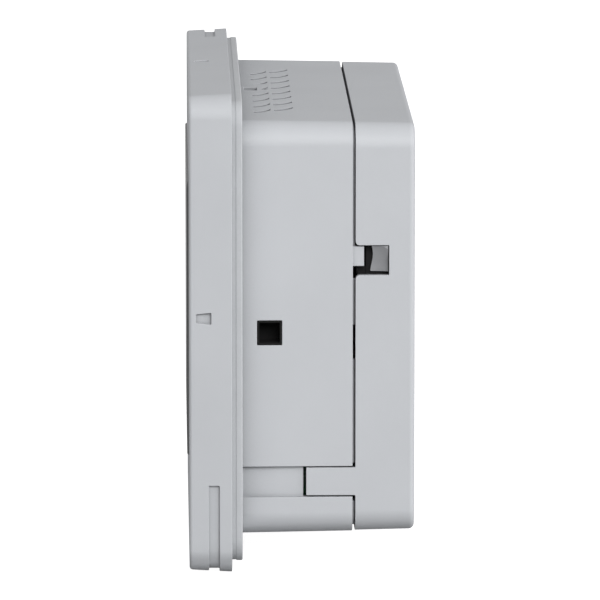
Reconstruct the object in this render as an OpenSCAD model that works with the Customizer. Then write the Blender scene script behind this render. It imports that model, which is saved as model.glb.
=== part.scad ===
// Panel-mounted operator terminal: a touch display unit that seats in a panel
// cut-out, with a computing module that slides and latches onto its back.
// Axes: +X to the right seen from the front, +Y towards the rear, +Z up.
// Origin: centre of the panel cut-out, in the plane where the seal meets the panel.

/* [Bezel] */
// Width of the front bezel
bezel_w = 170; // [168:1:174]
// Height of the front bezel
bezel_h = 137; // [135:1:140]
// Corner radius of the bezel
bezel_r = 7; // [6:0.1:8]
// Distance from the panel to the front of the bezel
bezel_front = 15.1; // [15:0.1:16]
// Distance from the panel to the rear rim of the bezel
bezel_rear = 3; // [2.5:0.1:3.1]
// How far the bezel's middle lies below the middle of the cut-out
bezel_drop = 0.5; // [0:0.1:1]
// Rounding of the front edge
bezel_edge = 0.9; // [0.5:0.1:1.5]

/* [Display] */
// Width of the touch glass
glass_w = 130.4; // [126:0.2:134]
// Height of the touch glass
glass_h = 79; // [77:0.5:82]
// Thickness of the touch glass
glass_t = 1.8; // [1.5:0.1:2.2]
// How far the glass stands out of the bezel
glass_proud = 0.9; // [0.4:0.05:1]
// Height of the glass's middle above the middle of the cut-out
glass_z = 1.5; // [0:0.25:2]

/* [Body] */
// Width of the body at the panel
body_w = 153; // [152:0.5:154]
// Height of the body at the panel
body_h = 118.8; // [117.5:0.1:119]
// Corner radius of the body
body_r = 7; // [6:0.1:8]
// Depth of the body behind the panel
body_d = 31.3; // [31:0.1:33]
// Wall thickness of the body
body_wall = 2.6; // [2.4:0.1:2.8]
// Draft of the body, inset per side over its depth
body_draft = 0.5; // [0.3:0.05:0.8]
// Side of the square clamp sockets
socket_side = 7; // [6.6:0.1:7.4]

/* [Rear module] */
// Gap between the body and the rear module
seam = 0.75; // [0.6:0.05:1]
// Depth of the rear module
module_d = 16.85; // [16.5:0.05:18]
// Wall thickness of the rear module
module_wall = 2.2; // [2:0.1:2.3]
// Rounding of the rear edge
module_edge = 1.5; // [1:0.1:2]
// Length of the locating tabs
tab_len = 13.6; // [10:0.1:15]

/* [Hidden] */

eps = 0.01;          // overlap that keeps a cut clean
gap = 0.3;           // clearance between pieces that move past each other
steps = 8;           // straight stretches in each rounded corner

plastic = [0.76, 0.77, 0.79];
rubber_grey = [0.72, 0.73, 0.75];
black = [0.08, 0.08, 0.08];
steel = [0.75, 0.76, 0.78];
board_green = [0.1, 0.35, 0.2];

// Bezel, inside
bezel_z = -bezel_drop;
bezel_draft = 0.6;
bezel_wall = 2.3;
bezel_plate = 3;
cavity_w = bezel_w - 2 * bezel_wall;
cavity_h = bezel_h - 2 * bezel_wall;
plate_back = -bezel_front + bezel_plate;
glass_front = -bezel_front - glass_proud;
glass_back = glass_front + glass_t;
active_w = 121.8;
active_h = 68.5;

// Flange of the body, clamped inside the bezel
flange_t = 2;
flange_front = -bezel_rear - flange_t;

// Status lens, below the display
lens_x = 55;
lens_z = -58;

// Display stack, front to rear
seal_t = 0.6;
lcd_w = 132;
lcd_h = 82;
lcd_t = 3.6;
backlight_t = 1.5;
frame_t = 0.8;
lcd_front = plate_back + seal_t;
backlight_front = lcd_front + lcd_t;
frame_front = backlight_front + backlight_t;
frame_back = frame_front + frame_t;
frame_w = 146;
frame_h = 76;

// Screws and their places, as [x, z]
case_at = [for (sx = [-1, 1], sz = [-1, 1]) [sx * 70.2, sz * 52]];
frame_at = [for (sx = [-1, 1], sz = [-1, 1]) [sx * 70.2, glass_z + sz * 30]];
board_at = [for (sx = [-1, 1], sz = [-1, 1]) [sx * 60, sz * 44]];
module_at = [for (sx = [-1, 1], sz = [-1, 1]) [sx * 66, sz * 50]];
module_board_at = [for (sx = [-1, 1], z = [-20, 36]) [sx * 58, z]];
case_screw_r = 1.5;
case_pilot_r = 1.55;
small_screw_r = 1.2;
small_pilot_r = 1.25;
head_recess = 4;

// Main board
board_t = 1.6;
board_w = 133;
board_h = 100;
board_back = 18.5;
board_front = board_back - board_t;
wall_front = body_d - body_wall;
link_w = 40;
link_h = 9;
link_opening_w = 46;
link_opening_h = 13;
chip_x = 18;
chip_z = 20;
chip_t = 1.4;

// Body, outside features
channel_low = -48;
channel_high = -39.2;
channel_depth = 1.1;
pocket_front = body_d - tab_len - 0.8;
rib_h = 0.6;
rib_inset = 1.6;
socket_y = 7.7;
socket_z = -0.7;
slot_w = 7;
slot_d = 3.7;
slot_y = 3.25;

// Rear module
module_y = body_d + seam;
module_back = module_y + module_d;
module_w = body_w - 2 * body_draft - 0.1;
module_h = body_h - 2 * body_draft - 0.2;
module_draft = 0.3;
module_floor = module_back - 2;
cover_y = module_y + 0.3;
cover_t = 1.6;
cover_back = cover_y + cover_t;
mboard_y = 34.6;
mboard_t = 1.4;
mboard_back = mboard_y + mboard_t;
mboard_w = 126;
mboard_low = -54;
mboard_high = 44;
cell_at = [-42, 26];
tab_low = channel_low + 0.7;
tab_high = channel_high - 0.7;
tab_t = 1.5;
tab_x = module_w / 2 - 0.05;

// Latch windows, beside the seam
window_len = 9.5;
window_low = 15.7;
window_high = 24.2;
catch_len = 2.7;
catch_low = 18.2;
latch_recess = 0.8;
latch_room = 66.8;      // the cover keeps inside this where the latches move

// Sockets along the underside of the rear module, as x of their middles
underside = -module_h / 2;
power_x = -50;
ethernet_x = -29;
usb_x = -11;
serial_x = 17;
card_x = 46;
hinge_y = 44.4;
hinge_z = underside + 1.25;
pin_r = 0.6;
knuckle_r = 1.1;
cover_w = 30;

// ---- outlines and blocks ----

// Rounded rectangle in the XZ plane, corner by corner
function rounded_outline(w, h, r) =
    [for (corner = [0:3], s = [0:steps])
        let (a = 90 * corner + 90 * s / steps,
             sx = (corner == 0 || corner == 3) ? 1 : -1,
             sz = corner < 2 ? 1 : -1)
        [sx * (w / 2 - r) + r * cos(a), sz * (h / 2 - r) + r * sin(a)]];

// Plate with rounded corners between two depths
module slab(y0, y1, w, h, r, z = 0) {
    translate([0, y1, z]) rotate([90, 0, 0])
        linear_extrude(y1 - y0) polygon(rounded_outline(w, h, r));
}

// Block through stations of [depth, inset]
module lofted(w, h, r, stations, z = 0) {
    hull() for (s = stations)
        slab(s[0] - eps / 2, s[0] + eps / 2, w - 2 * s[1], h - 2 * s[1], r - s[1], z);
}

// Box from its lowest and highest corners
module block(low, high) {
    translate(low) cube(high - low);
}

// Round bar along Y
module bar(at, y0, y1, r) {
    translate([at[0], y1, at[1]]) rotate([90, 0, 0]) cylinder(h = y1 - y0, r = r, $fn = 48);
}

// Round bar along X
module cross_bar(x0, x1, y, z, r) {
    translate([x0, y, z]) rotate([0, 90, 0]) cylinder(h = x1 - x0, r = r, $fn = 48);
}

// Screw along Y with its head at the rear and a cross recess
module screw(at, tip, seat, r, head_r, head_t) {
    difference() {
        union() {
            bar(at, tip, seat + eps, r);
            bar(at, seat, seat + head_t, head_r);
        }
        for (a = [0, 90]) translate([at[0], seat + head_t, at[1]]) rotate([0, a, 0])
            cube([head_r * 1.2, head_t, head_r * 0.3], center = true);
    }
}

// Screw along Y with its head at the front
module front_screw(at, tip, seat, r, head_r, head_t) {
    translate([0, seat, 0]) mirror([0, 1, 0]) translate([0, -seat, 0])
        screw(at, 2 * seat - tip, seat, r, head_r, head_t);
}

// ---- display unit ----

// Shallow pry notch, widening towards the panel, drawn on the +X side
module pry_notch(reach) {
    translate([reach - 1, 0, 0]) rotate([90, 0, 90])
        linear_extrude(2)
            polygon([[-13.1, -1.2], [-8.9, -1.65], [-8.9, 1.65], [-13.1, 1.2]]);
}

// Groove that wraps round the lower right corner of the bezel
module corner_groove() {
    reach = 25.8;
    depth = 1.05;
    intersection() {
        difference() {
            slab(-9.6, -6.6, bezel_w + 4, bezel_h + 4, bezel_r + 2, bezel_z);
            slab(-10, -6, bezel_w - 2 * depth, bezel_h - 2 * depth, bezel_r - depth, bezel_z);
        }
        block([bezel_w / 2 - reach, -12, bezel_z - bezel_h / 2 - 3],
              [bezel_w / 2 + 3, -4, bezel_z - bezel_h / 2 + reach]);
    }
}

module front_bezel() {
    side_y = -bezel_front + bezel_edge;
    color(plastic) difference() {
        union() {
            difference() {
                lofted(bezel_w, bezel_h, bezel_r, concat([[-bezel_rear, 0]],
                    [for (a = [0:30:90]) [side_y - bezel_edge * sin(a),
                        bezel_draft + bezel_edge * (1 - cos(a))]]), bezel_z);
                slab(plate_back, 0, cavity_w, cavity_h, bezel_r - bezel_wall, bezel_z);
            }
            for (at = case_at) bar(at, plate_back - eps, flange_front - 0.1, 3);
            for (at = frame_at) bar(at, plate_back - eps, frame_front, 2.6);
        }
        slab(-bezel_front - 1, glass_back, glass_w + 0.4, glass_h + 0.4, 2.2, glass_z);
        slab(-bezel_front, plate_back + 1, active_w + 4, active_h + 4, 1, glass_z);
        for (at = case_at) bar(at, plate_back + 0.4, 0, case_pilot_r);
        for (at = frame_at) bar(at, plate_back + 0.4, 0, small_pilot_r);
        for (turn = [0, 180]) {
            translate([0, 0, bezel_z]) rotate([0, turn, 0]) translate([0, 0, -bezel_z]) {
                corner_groove();
                translate([0, 0, 5.2]) pry_notch(bezel_w / 2 - 0.3);
            }
            translate([0, 0, bezel_z]) rotate([0, 90 + turn, 0])
                pry_notch(bezel_h / 2 - 0.3);
        }
        lens_hole();
    }
}

module lens_hole() {
    block([lens_x - 3.1, -bezel_front - 1, lens_z - 0.85],
          [lens_x + 3.1, plate_back + 1, lens_z + 0.85]);
}

module status_lens() {
    color([0.55, 0.75, 0.6]) union() {
        block([lens_x - 3, -bezel_front, lens_z - 0.75], [lens_x + 3, plate_back + 0.1, lens_z + 0.75]);
        block([lens_x - 4, plate_back + 0.05, lens_z - 2], [lens_x + 4, plate_back + 1, lens_z + 2]);
    }
}

module touch_glass() {
    color([0.12, 0.13, 0.14]) slab(glass_front, glass_back, glass_w, glass_h, 2, glass_z);
}

module display_seal() {
    color(black) difference() {
        slab(plate_back, lcd_front, lcd_w - 2, lcd_h - 2, 1.5, glass_z);
        slab(plate_back - 1, lcd_front + 1, active_w + 5, active_h + 5, 1, glass_z);
    }
}

module lcd_panel() {
    color([0.15, 0.16, 0.2]) slab(lcd_front, backlight_front, lcd_w, lcd_h, 1, glass_z);
}

module backlight_unit() {
    color([0.9, 0.9, 0.88]) slab(backlight_front, frame_front, lcd_w - 3, lcd_h - 3, 1, glass_z);
}

module display_frame() {
    window_w = 100;
    window_h = 52;
    color(steel) difference() {
        slab(frame_front, frame_back, frame_w, frame_h, 2, glass_z);
        slab(frame_front - 1, frame_back + 1, window_w, window_h, 3, glass_z);
        for (at = frame_at) bar(at, frame_front - 1, frame_back + 1, 1.4);
    }
}

module frame_screws() {
    color(steel) for (at = frame_at)
        screw(at, plate_back + 1, frame_back, small_screw_r, 2.2, 1);
}

// Flat ribbon that drops from the display to the main board
module display_cable() {
    ribbon_w = 18;
    t = 0.3;
    bend = 3;
    y0 = frame_front;
    y1 = board_front;
    z0 = glass_z - 8;
    function s_curve(side) = [for (k = [0:12])
        let (u = k / 12)
        [y0 + (y1 - y0) * u, z0 - 2 * bend * (1 - cos(180 * u)) + side * t / 2]];
    color([0.85, 0.55, 0.2]) translate([-ribbon_w / 2 - 34, 0, 0]) rotate([90, 0, 90])
        linear_extrude(ribbon_w)
            polygon(concat(s_curve(1), [for (k = [12:-1:0]) s_curve(-1)[k]]));
}

// Seal between the bezel and the panel: a neck and a wider lip
module panel_gasket() {
    lip_w = bezel_w - 6;
    lip_h = bezel_h - 5;
    lip_t = 1.9;
    neck = 0.7;
    lip_z = bezel_z + 0.2;
    color(rubber_grey) difference() {
        union() {
            slab(-lip_t, 0, lip_w, lip_h, bezel_r, lip_z);
            slab(-bezel_rear, -lip_t + eps, lip_w - 2 * neck, lip_h - 2 * neck, bezel_r - neck, lip_z);
        }
        slab(-bezel_rear - 1, 1, body_w + 1, body_h + 1, body_r + 0.5);
    }
}

// ---- body ----

// Slanted air slots in the top of the body: two rows of eight, the middle two of
// the front row cut short behind the clamp socket
module air_slots() {
    pitch = 12.6;
    lean = 6.5;
    slot = 2.2;
    rows = [[3.6, 8.4], [9.4, 14.9]];
    short_start = 6.6;
    for (row = rows, k = [-3.5:3.5])
        translate([k * pitch, 0, body_h / 2 - body_wall - 2]) linear_extrude(body_wall + 3)
            intersection() {
                polygon([[lean / 2, row[0]], [lean / 2 + slot, row[0]],
                         [-lean / 2 + slot, row[1]], [-lean / 2, row[1]]]);
                translate([-pitch, abs(k) < 1 ? max(short_start, row[0]) : row[0]])
                    square([2 * pitch, row[1]]);
            }
}

// Channel along the lower side with the deeper pocket for the tab, on +X
module side_channel() {
    face = body_w / 2;
    block([face - channel_depth - body_draft / 2, 0, channel_low], [face + 1, body_d + 1, channel_high]);
    block([tab_x - tab_t - gap, pocket_front, channel_low], [face + 1, body_d + 1, channel_high]);
}

// Lug at the seam that the latch holds, on +X
module catch_lug() {
    block([module_w / 2 - 4.2, body_d - 1, catch_low],
          [module_w / 2 - 0.7, module_y + catch_len, window_high - gap]);
}

// Raised rib behind the seam, open where the cables of the module pass
module seam_rib() {
    difference() {
        slab(body_d - eps, body_d + rib_h, module_w - 2 * rib_inset, module_h - 2 * rib_inset,
             body_r - rib_inset);
        slab(body_d - 1, body_d + 2, module_w - 2 * rib_inset - 4, module_h - 2 * rib_inset - 4,
             body_r - rib_inset - 2);
        for (sx = [-1, 1])
            translate([sx * module_w / 2, body_d + 1, 0]) {
                translate([0, 0, -3.7]) cube([12, 3, 9.8], center = true);
                translate([0, 0, -44]) cube([12, 3, 11], center = true);
                translate([0, 0, 19.2]) cube([12, 3, 9.4], center = true);
            }
    }
}

module body_shell() {
    inner_w = body_w - 2 * body_wall;
    inner_h = body_h - 2 * body_wall;
    color(plastic) difference() {
        union() {
            difference() {
                union() {
                    lofted(body_w, body_h, body_r, [[flange_front, 0], [0, 0], [body_d, body_draft]]);
                    slab(flange_front, -bezel_rear, cavity_w - 0.4, cavity_h - 0.4,
                         bezel_r - bezel_wall, bezel_z);
                }
                lofted(inner_w, inner_h, body_r - body_wall,
                       [[flange_front - 1, 0], [0, 0], [wall_front, body_draft]]);
            }
            for (at = case_at) {
                bar(at, flange_front, wall_front + eps, 3);
                bar(at, body_d - 8, body_d - eps, 4);
            }
            for (at = board_at) bar(at, board_back, wall_front + eps, 2.8);
            seam_rib();
            for (turn = [0, 1]) mirror([turn, 0, 0]) catch_lug();
        }
        for (turn = [0, 1]) mirror([turn, 0, 0]) {
            side_channel();
            translate([body_w / 2, socket_y, socket_z])
                cube([12, socket_side + 0.1, socket_side + 0.1], center = true);
        }
        for (turn = [0, 180]) rotate([0, turn, 0]) {
            translate([0, slot_y, body_h / 2]) cube([slot_w + 0.1, slot_d + 0.1, 12], center = true);
            translate([0, 7.6, body_h / 2 - 4]) cylinder(h = 6, r = 0.9, $fn = 24);
        }
        air_slots();
        for (at = case_at) {
            bar(at, flange_front - 1, body_d + 1, 1.7);
            bar(at, body_d - head_recess, body_d + 2, 3);
        }
        for (at = board_at) bar(at, board_back - 1, board_back + 7, small_pilot_r);
        slab(wall_front - 1, body_d + 1, link_opening_w, link_opening_h, 2);
    }
}

module case_screws() {
    color(steel) for (at = case_at)
        screw(at, plate_back + 2, body_d - head_recess, case_screw_r, 2.8, 2);
}

// Square plastic cup that takes the hook of a mounting clamp, on +X
module side_socket() {
    mouth = body_w / 2 - body_draft * socket_y / body_d - 0.1;
    cup_wall = 0.6;
    depth = 7.5;
    lip = 1.2;
    translate([0, socket_y, socket_z]) difference() {
        union() {
            translate([mouth - depth / 2, 0, 0]) cube([depth, socket_side, socket_side], center = true);
            translate([body_w / 2 - body_wall - lip / 2 - 0.7, 0, 0])
                cube([lip, socket_side + 3, socket_side + 3], center = true);
        }
        translate([mouth - depth / 2 + 1, 0, 0])
            cube([depth, socket_side - 2 * cup_wall, socket_side - 2 * cup_wall], center = true);
    }
}

// Flat plastic cup in the slot of the top wall
module edge_socket() {
    mouth = body_h / 2 - body_draft * slot_y / body_d - 0.1;
    cup_wall = 0.6;
    depth = 7.5;
    lip = 1.2;
    translate([0, slot_y, 0]) difference() {
        union() {
            translate([0, 0, mouth - depth / 2]) cube([slot_w, slot_d, depth], center = true);
            translate([0, 0, body_h / 2 - body_wall - lip / 2 - 0.7])
                cube([slot_w + 3, slot_d + 2.4, lip], center = true);
        }
        translate([0, 0, mouth - depth / 2 + 1])
            cube([slot_w - 2 * cup_wall, slot_d - 2 * cup_wall, depth], center = true);
    }
}

module clamp_socket_right() { color(black) side_socket(); }
module clamp_socket_left() { color(black) mirror([1, 0, 0]) side_socket(); }
module clamp_socket_top() { color(black) edge_socket(); }
module clamp_socket_bottom() { color(black) mirror([0, 0, 1]) edge_socket(); }

// ---- main board and what it carries ----

module main_board() {
    color(board_green) difference() {
        slab(board_front, board_back, board_w, board_h, 2);
        for (at = board_at) bar(at, board_front - 1, board_back + 1, 1.5);
    }
}

module board_screws() {
    color(steel) for (at = board_at)
        front_screw(at, board_back + 6, board_front, small_screw_r, 2.2, 1.4);
}

module processor() {
    chip = 23;
    color(black) block([chip_x - chip / 2, board_front - chip_t, chip_z - chip / 2],
                       [chip_x + chip / 2, board_front, chip_z + chip / 2]);
}

module heat_sink() {
    side = 34;
    base_t = 1.8;
    fin_t = 1.2;
    fins = 8;
    tip = 6.4;
    base_y = board_front - chip_t;
    pitch = (side - fin_t) / (fins - 1);
    color([0.7, 0.71, 0.73]) union() {
        block([chip_x - side / 2, base_y - base_t, chip_z - side / 2],
              [chip_x + side / 2, base_y, chip_z + side / 2]);
        for (k = [0:fins - 1])
            block([chip_x - side / 2 + k * pitch, tip, chip_z - side / 2],
                  [chip_x - side / 2 + k * pitch + fin_t, base_y - base_t + eps, chip_z + side / 2]);
    }
}

module board_capacitors() {
    color([0.2, 0.22, 0.3]) for (k = [0:3])
        bar([-52 + 9 * k, -34], board_front - 8, board_front, 3.15);
}

module buzzer() {
    color(black) difference() {
        bar([46, -30], board_front - 5.5, board_front, 6);
        bar([46, -30], board_front - 7, board_front - 4.5, 1);
    }
}

// Receptacle on the rear of the main board that the module plugs into
module base_connector() {
    cavity_w = link_w - 4;
    cavity_h = link_h - 3;
    rear = wall_front - 0.2;
    color(black) difference() {
        slab(board_back, rear, link_w, link_h, 0.8);
        slab(rear - 7, rear + 1, cavity_w, cavity_h, 0.5);
    }
}

// ---- rear module ----

// Notch in the side wall that starts at the seam, on +X, with rounded mouth corners
module latch_window() {
    x0 = module_w / 2 - 6;
    mouth = 1.2;
    translate([x0, 0, 0]) rotate([90, 0, 90]) linear_extrude(10) {
        polygon([[module_y - 1, window_low], [module_y + window_len, window_low],
                 [module_y + window_len, window_high], [module_y - 1, window_high]]);
        difference() {
            translate([module_y - 1, window_low - mouth])
                square([mouth + 1, window_high - window_low + 2 * mouth]);
            for (z = [window_low - mouth, window_high + mouth])
                translate([module_y + mouth, z]) circle(r = mouth, $fn = 24);
        }
    }
}

// Arm that fills the body's channel, on +X
module side_tab() {
    block([tab_x - tab_t, body_d - tab_len + 0.2, tab_low], [tab_x, module_y + 2, tab_high]);
}

// Cuts for the sockets in the lower wall
module socket_cuts() {
    z0 = underside - 1;
    z1 = underside + module_wall + 1;
    block([power_x - 8.3, mboard_back - gap, z0], [power_x + 8.3, 45.6, z1]);
    block([ethernet_x - 8.2, mboard_back - gap, z0], [ethernet_x + 8.2, 46.4, z1]);
    block([usb_x - 6.8, mboard_back - gap, z0], [usb_x + 6.8, 42, z1]);
    block([serial_x - 9.2, 36.2, z0], [serial_x + 9.2, 45, z1]);
    block([card_x - 12.6, 36.9, z0], [card_x + 12.6, 39.7, z1]);
    block([card_x - cover_w / 2 - gap, 35, z0], [card_x + cover_w / 2 + gap, hinge_y, underside + 1.6]);
    block([card_x - cover_w / 2 - gap, hinge_y - 1.5, z0], [card_x + cover_w / 2 + gap, hinge_y + 1.5, z1]);
}

module module_shell() {
    side_end = module_back - module_edge;
    inner_w = module_w - 2 * module_wall;
    inner_h = module_h - 2 * module_wall;
    color(plastic) difference() {
        union() {
            difference() {
                lofted(module_w, module_h, body_r, concat([[module_y, 0]],
                    [for (a = [0:22.5:90]) [side_end + module_edge * sin(a),
                        module_draft + module_edge * (1 - cos(a))]]));
                slab(module_y - 1, module_floor, inner_w, inner_h, body_r - module_wall);
            }
            for (at = module_at) bar(at, module_floor - 6, module_floor + eps, 4);
            for (at = module_board_at) bar(at, mboard_back, module_floor + eps, 2.6);
            for (turn = [0, 1]) mirror([turn, 0, 0]) side_tab();
        }
        for (turn = [0, 1]) mirror([turn, 0, 0]) latch_window();
        socket_cuts();
        cross_bar(card_x - cover_w / 2 - 2, card_x + cover_w / 2 + 2, hinge_y, hinge_z, pin_r);
        for (at = module_at) {
            bar(at, module_y, module_back + 1, 1.6);
            bar(at, module_back - 3.2, module_back + 1, 3);
        }
        for (at = module_board_at) bar(at, mboard_back - 1, mboard_back + 6, small_pilot_r);
        // shallow field for a rating plate
        slab(module_back - 0.4, module_back + 1, 78, 46, 2, -12);
    }
}

module module_cover() {
    post_back = module_floor - 6.1;
    color(plastic) difference() {
        union() {
            slab(cover_y, cover_back, module_w - 2 * module_wall - 0.6,
                 module_h - 2 * module_wall - 0.6, body_r - module_wall);
            for (at = module_at) bar(at, cover_back - eps, post_back, 3);
        }
        slab(cover_y - 1, cover_back + 1, link_opening_w, link_opening_h, 2);
        for (at = module_at) bar(at, cover_y - 1, post_back + 1, small_pilot_r);
        for (turn = [0, 1]) mirror([turn, 0, 0])
            block([latch_room, cover_y - 1, window_low - 1.4], [80, cover_back + 1, window_high + 1.9]);
    }
}

module module_screws() {
    color(steel) for (at = module_at)
        screw(at, cover_y + 1, module_back - 3.2, small_screw_r, 2.8, 2);
}

module module_board() {
    color(board_green) difference() {
        block([-mboard_w / 2, mboard_y, mboard_low], [mboard_w / 2, mboard_back, mboard_high]);
        for (at = module_board_at) bar(at, mboard_y - 1, mboard_back + 1, 1.5);
    }
}

module module_board_screws() {
    color(steel) for (at = module_board_at)
        front_screw([at[0], at[1]], mboard_back + 5, mboard_y, small_screw_r, 2.2, 0.6);
}

// Plug on the front of the module's board
module module_connector() {
    color(black) slab(wall_front - 5.5, mboard_y, link_w - 4 - 2 * gap, link_h - 3 - 2 * gap, 0.4);
}

module module_chips() {
    color(black) for (c = [[-20, 20, 18, 1.6], [14, 14, 14, 1.4], [36, 22, 10, 1.2], [-44, -6, 9, 1.2]])
        block([c[0] - c[2] / 2, mboard_back, c[1] - c[2] / 2],
              [c[0] + c[2] / 2, mboard_back + c[3], c[1] + c[2] / 2]);
}

// Header for the supply, open downwards
module power_socket() {
    color([0.15, 0.35, 0.2]) difference() {
        block([power_x - 8, mboard_back, underside + 0.3], [power_x + 8, 45.3, underside + 13]);
        block([power_x - 7.2, mboard_back + 0.8, underside - 1], [power_x + 7.2, 44.5, underside + 11.5]);
    }
}

// Three-pole screw terminal plug
module power_plug() {
    pole = 4.6;
    front = mboard_back + 0.8 + gap;
    rear = 44.5 - gap;
    color([0.15, 0.45, 0.25]) difference() {
        block([power_x - 6.9, front, underside - 5.5], [power_x + 6.9, rear, underside + 10]);
        for (k = [-1:1]) {
            translate([power_x + k * pole, 40.3, underside - 6]) cylinder(h = 7, r = 1.5, $fn = 32);
            translate([power_x + k * pole, rear + 0.5, underside - 3]) rotate([90, 0, 0])
                cylinder(h = 2.5, r = 1.6, $fn = 32);
        }
    }
}

module plug_screws() {
    pole = 4.6;
    rear = 44.5 - gap;
    color(steel) for (k = [-1:1]) difference() {
        translate([power_x + k * pole, rear - 0.6, underside - 3]) rotate([90, 0, 0])
            cylinder(h = 1.4, r = 1.5, $fn = 32);
        translate([power_x + k * pole, rear - 0.6, underside - 3]) cube([2.2, 0.8, 0.5], center = true);
    }
}

module ethernet_socket() {
    color([0.7, 0.71, 0.72]) difference() {
        block([ethernet_x - 7.9, mboard_back, underside + 0.2], [ethernet_x + 7.9, 46.1, underside + 20]);
        block([ethernet_x - 5.9, mboard_back + 1.3, underside - 1], [ethernet_x + 5.9, 43.7, underside + 13.5]);
        block([ethernet_x - 3, 43, underside - 1], [ethernet_x + 3, 45, underside + 9]);
    }
}

module usb_socket() {
    color(steel) union() {
        difference() {
            block([usb_x - 6.5, mboard_back, underside + 0.2], [usb_x + 6.5, 41.7, underside + 17]);
            block([usb_x - 6.1, mboard_back + 0.5, underside - 1], [usb_x + 6.1, 41.2, underside + 15]);
        }
        block([usb_x - 5.4, mboard_back + 0.8, underside + 1], [usb_x + 5.4, mboard_back + 2.6, underside + 15.5]);
    }
}

// Nine-pole serial port: a flange behind the wall and a D-shaped nose through it
module serial_socket() {
    mid_y = 40.6;
    color(steel) difference() {
        union() {
            block([serial_x - 15.4, mid_y - 6, underside + module_wall + 0.2],
                  [serial_x + 15.4, mid_y + 6, underside + module_wall + 1.4]);
            block([serial_x - 8.6, mid_y - 4, underside + module_wall + 1],
                  [serial_x + 8.6, mid_y + 4, underside + 14]);
            translate([serial_x, mid_y, underside + 0.1]) linear_extrude(module_wall + 2)
                polygon([[-8.5, -4], [8.5, -4], [7.1, 4], [-7.1, 4]]);
        }
        for (k = [0:8])
            translate([serial_x + (k < 5 ? (k - 2) : (k - 6.5)) * 2.75, mid_y + (k < 5 ? -1.4 : 1.4),
                       underside - 1]) cylinder(h = 7, r = 0.55, $fn = 20);
    }
}

module card_socket() {
    color(steel) difference() {
        block([card_x - 13, mboard_back, underside + module_wall + 0.2],
              [card_x + 13, mboard_back + 4.4, underside + 28]);
        block([card_x - 12.2, 37.1, underside], [card_x + 12.2, 39.5, underside + 26]);
    }
}

// Flap over the card slot, with its knuckle
module card_cover() {
    half = cover_w / 2;
    color(plastic) difference() {
        union() {
            block([card_x - half, 35.3, underside + 0.15], [card_x + half, hinge_y - 0.2, underside + 1.35]);
            cross_bar(card_x - half + 1, card_x + half - 1, hinge_y, hinge_z, knuckle_r);
        }
        cross_bar(card_x - half - 1, card_x + half + 1, hinge_y, hinge_z, pin_r + 0.05);
    }
}

module card_cover_pin() {
    half = cover_w / 2 + 1.8;
    color(steel) cross_bar(card_x - half, card_x + half, hinge_y, hinge_z, pin_r);
}

module cell_holder() {
    color(black) difference() {
        bar(cell_at, mboard_back, mboard_back + 4.6, 11.6);
        bar(cell_at, mboard_back + 1, mboard_back + 6, 10.3);
    }
}

module coin_cell() {
    color(steel) bar(cell_at, mboard_back + 1, mboard_back + 4.2, 10);
}

// Push latch behind the window, on +X: a crowned pad, a stop flange and a nose
module release_latch() {
    face = module_w / 2 - latch_recess;
    flange_x = module_w / 2 - module_wall - 0.4;
    pad_low = window_low + 0.75;
    pad_high = window_high - 0.3;
    pad_front = module_y + 4.4;
    pad_back = module_y + window_len - 0.25;
    crown_r = 8;
    union() {
        intersection() {
            block([flange_x - 1, pad_front, pad_low], [face, pad_back, pad_high]);
            cross_bar(flange_x - 2, face + 1, pad_front + crown_r - 0.4, (pad_low + pad_high) / 2 + 1.2,
                      crown_r);
        }
        block([flange_x - 2, module_y + 2.95, window_low - 0.9], [flange_x, pad_back + 1.2, window_high + 1.3]);
        block([flange_x - 4.2, module_y + 0.55, catch_low + 0.6], [flange_x - 2 + eps, module_y + 8, window_high - 0.9]);
    }
}

module release_latch_right() { color(plastic) release_latch(); }
module release_latch_left() { color(plastic) mirror([1, 0, 0]) release_latch(); }

front_bezel();
touch_glass();
display_seal();
lcd_panel();
backlight_unit();
display_frame();
frame_screws();
status_lens();
display_cable();
panel_gasket();
body_shell();
case_screws();
clamp_socket_left();
clamp_socket_right();
clamp_socket_top();
clamp_socket_bottom();
main_board();
processor();
heat_sink();
board_capacitors();
buzzer();
base_connector();
board_screws();
module_shell();
module_cover();
module_screws();
module_board();
module_board_screws();
module_connector();
module_chips();
power_socket();
power_plug();
plug_screws();
ethernet_socket();
usb_socket();
serial_socket();
card_socket();
card_cover();
card_cover_pin();
cell_holder();
coin_cell();
release_latch_left();
release_latch_right();
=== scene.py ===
"""Looks of a panel-mounted operator terminal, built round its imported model.

Sizes are in millimetres in the classes and become metres when a mesh is made.
Axes: +X to the right seen from the front, +Y towards the rear, +Z up. The origin
is the middle of the panel cut-out, in the plane where the seal meets the panel.
"""

import logging
import math
from collections.abc import Callable, Sequence
from dataclasses import dataclass
from enum import Enum

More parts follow.
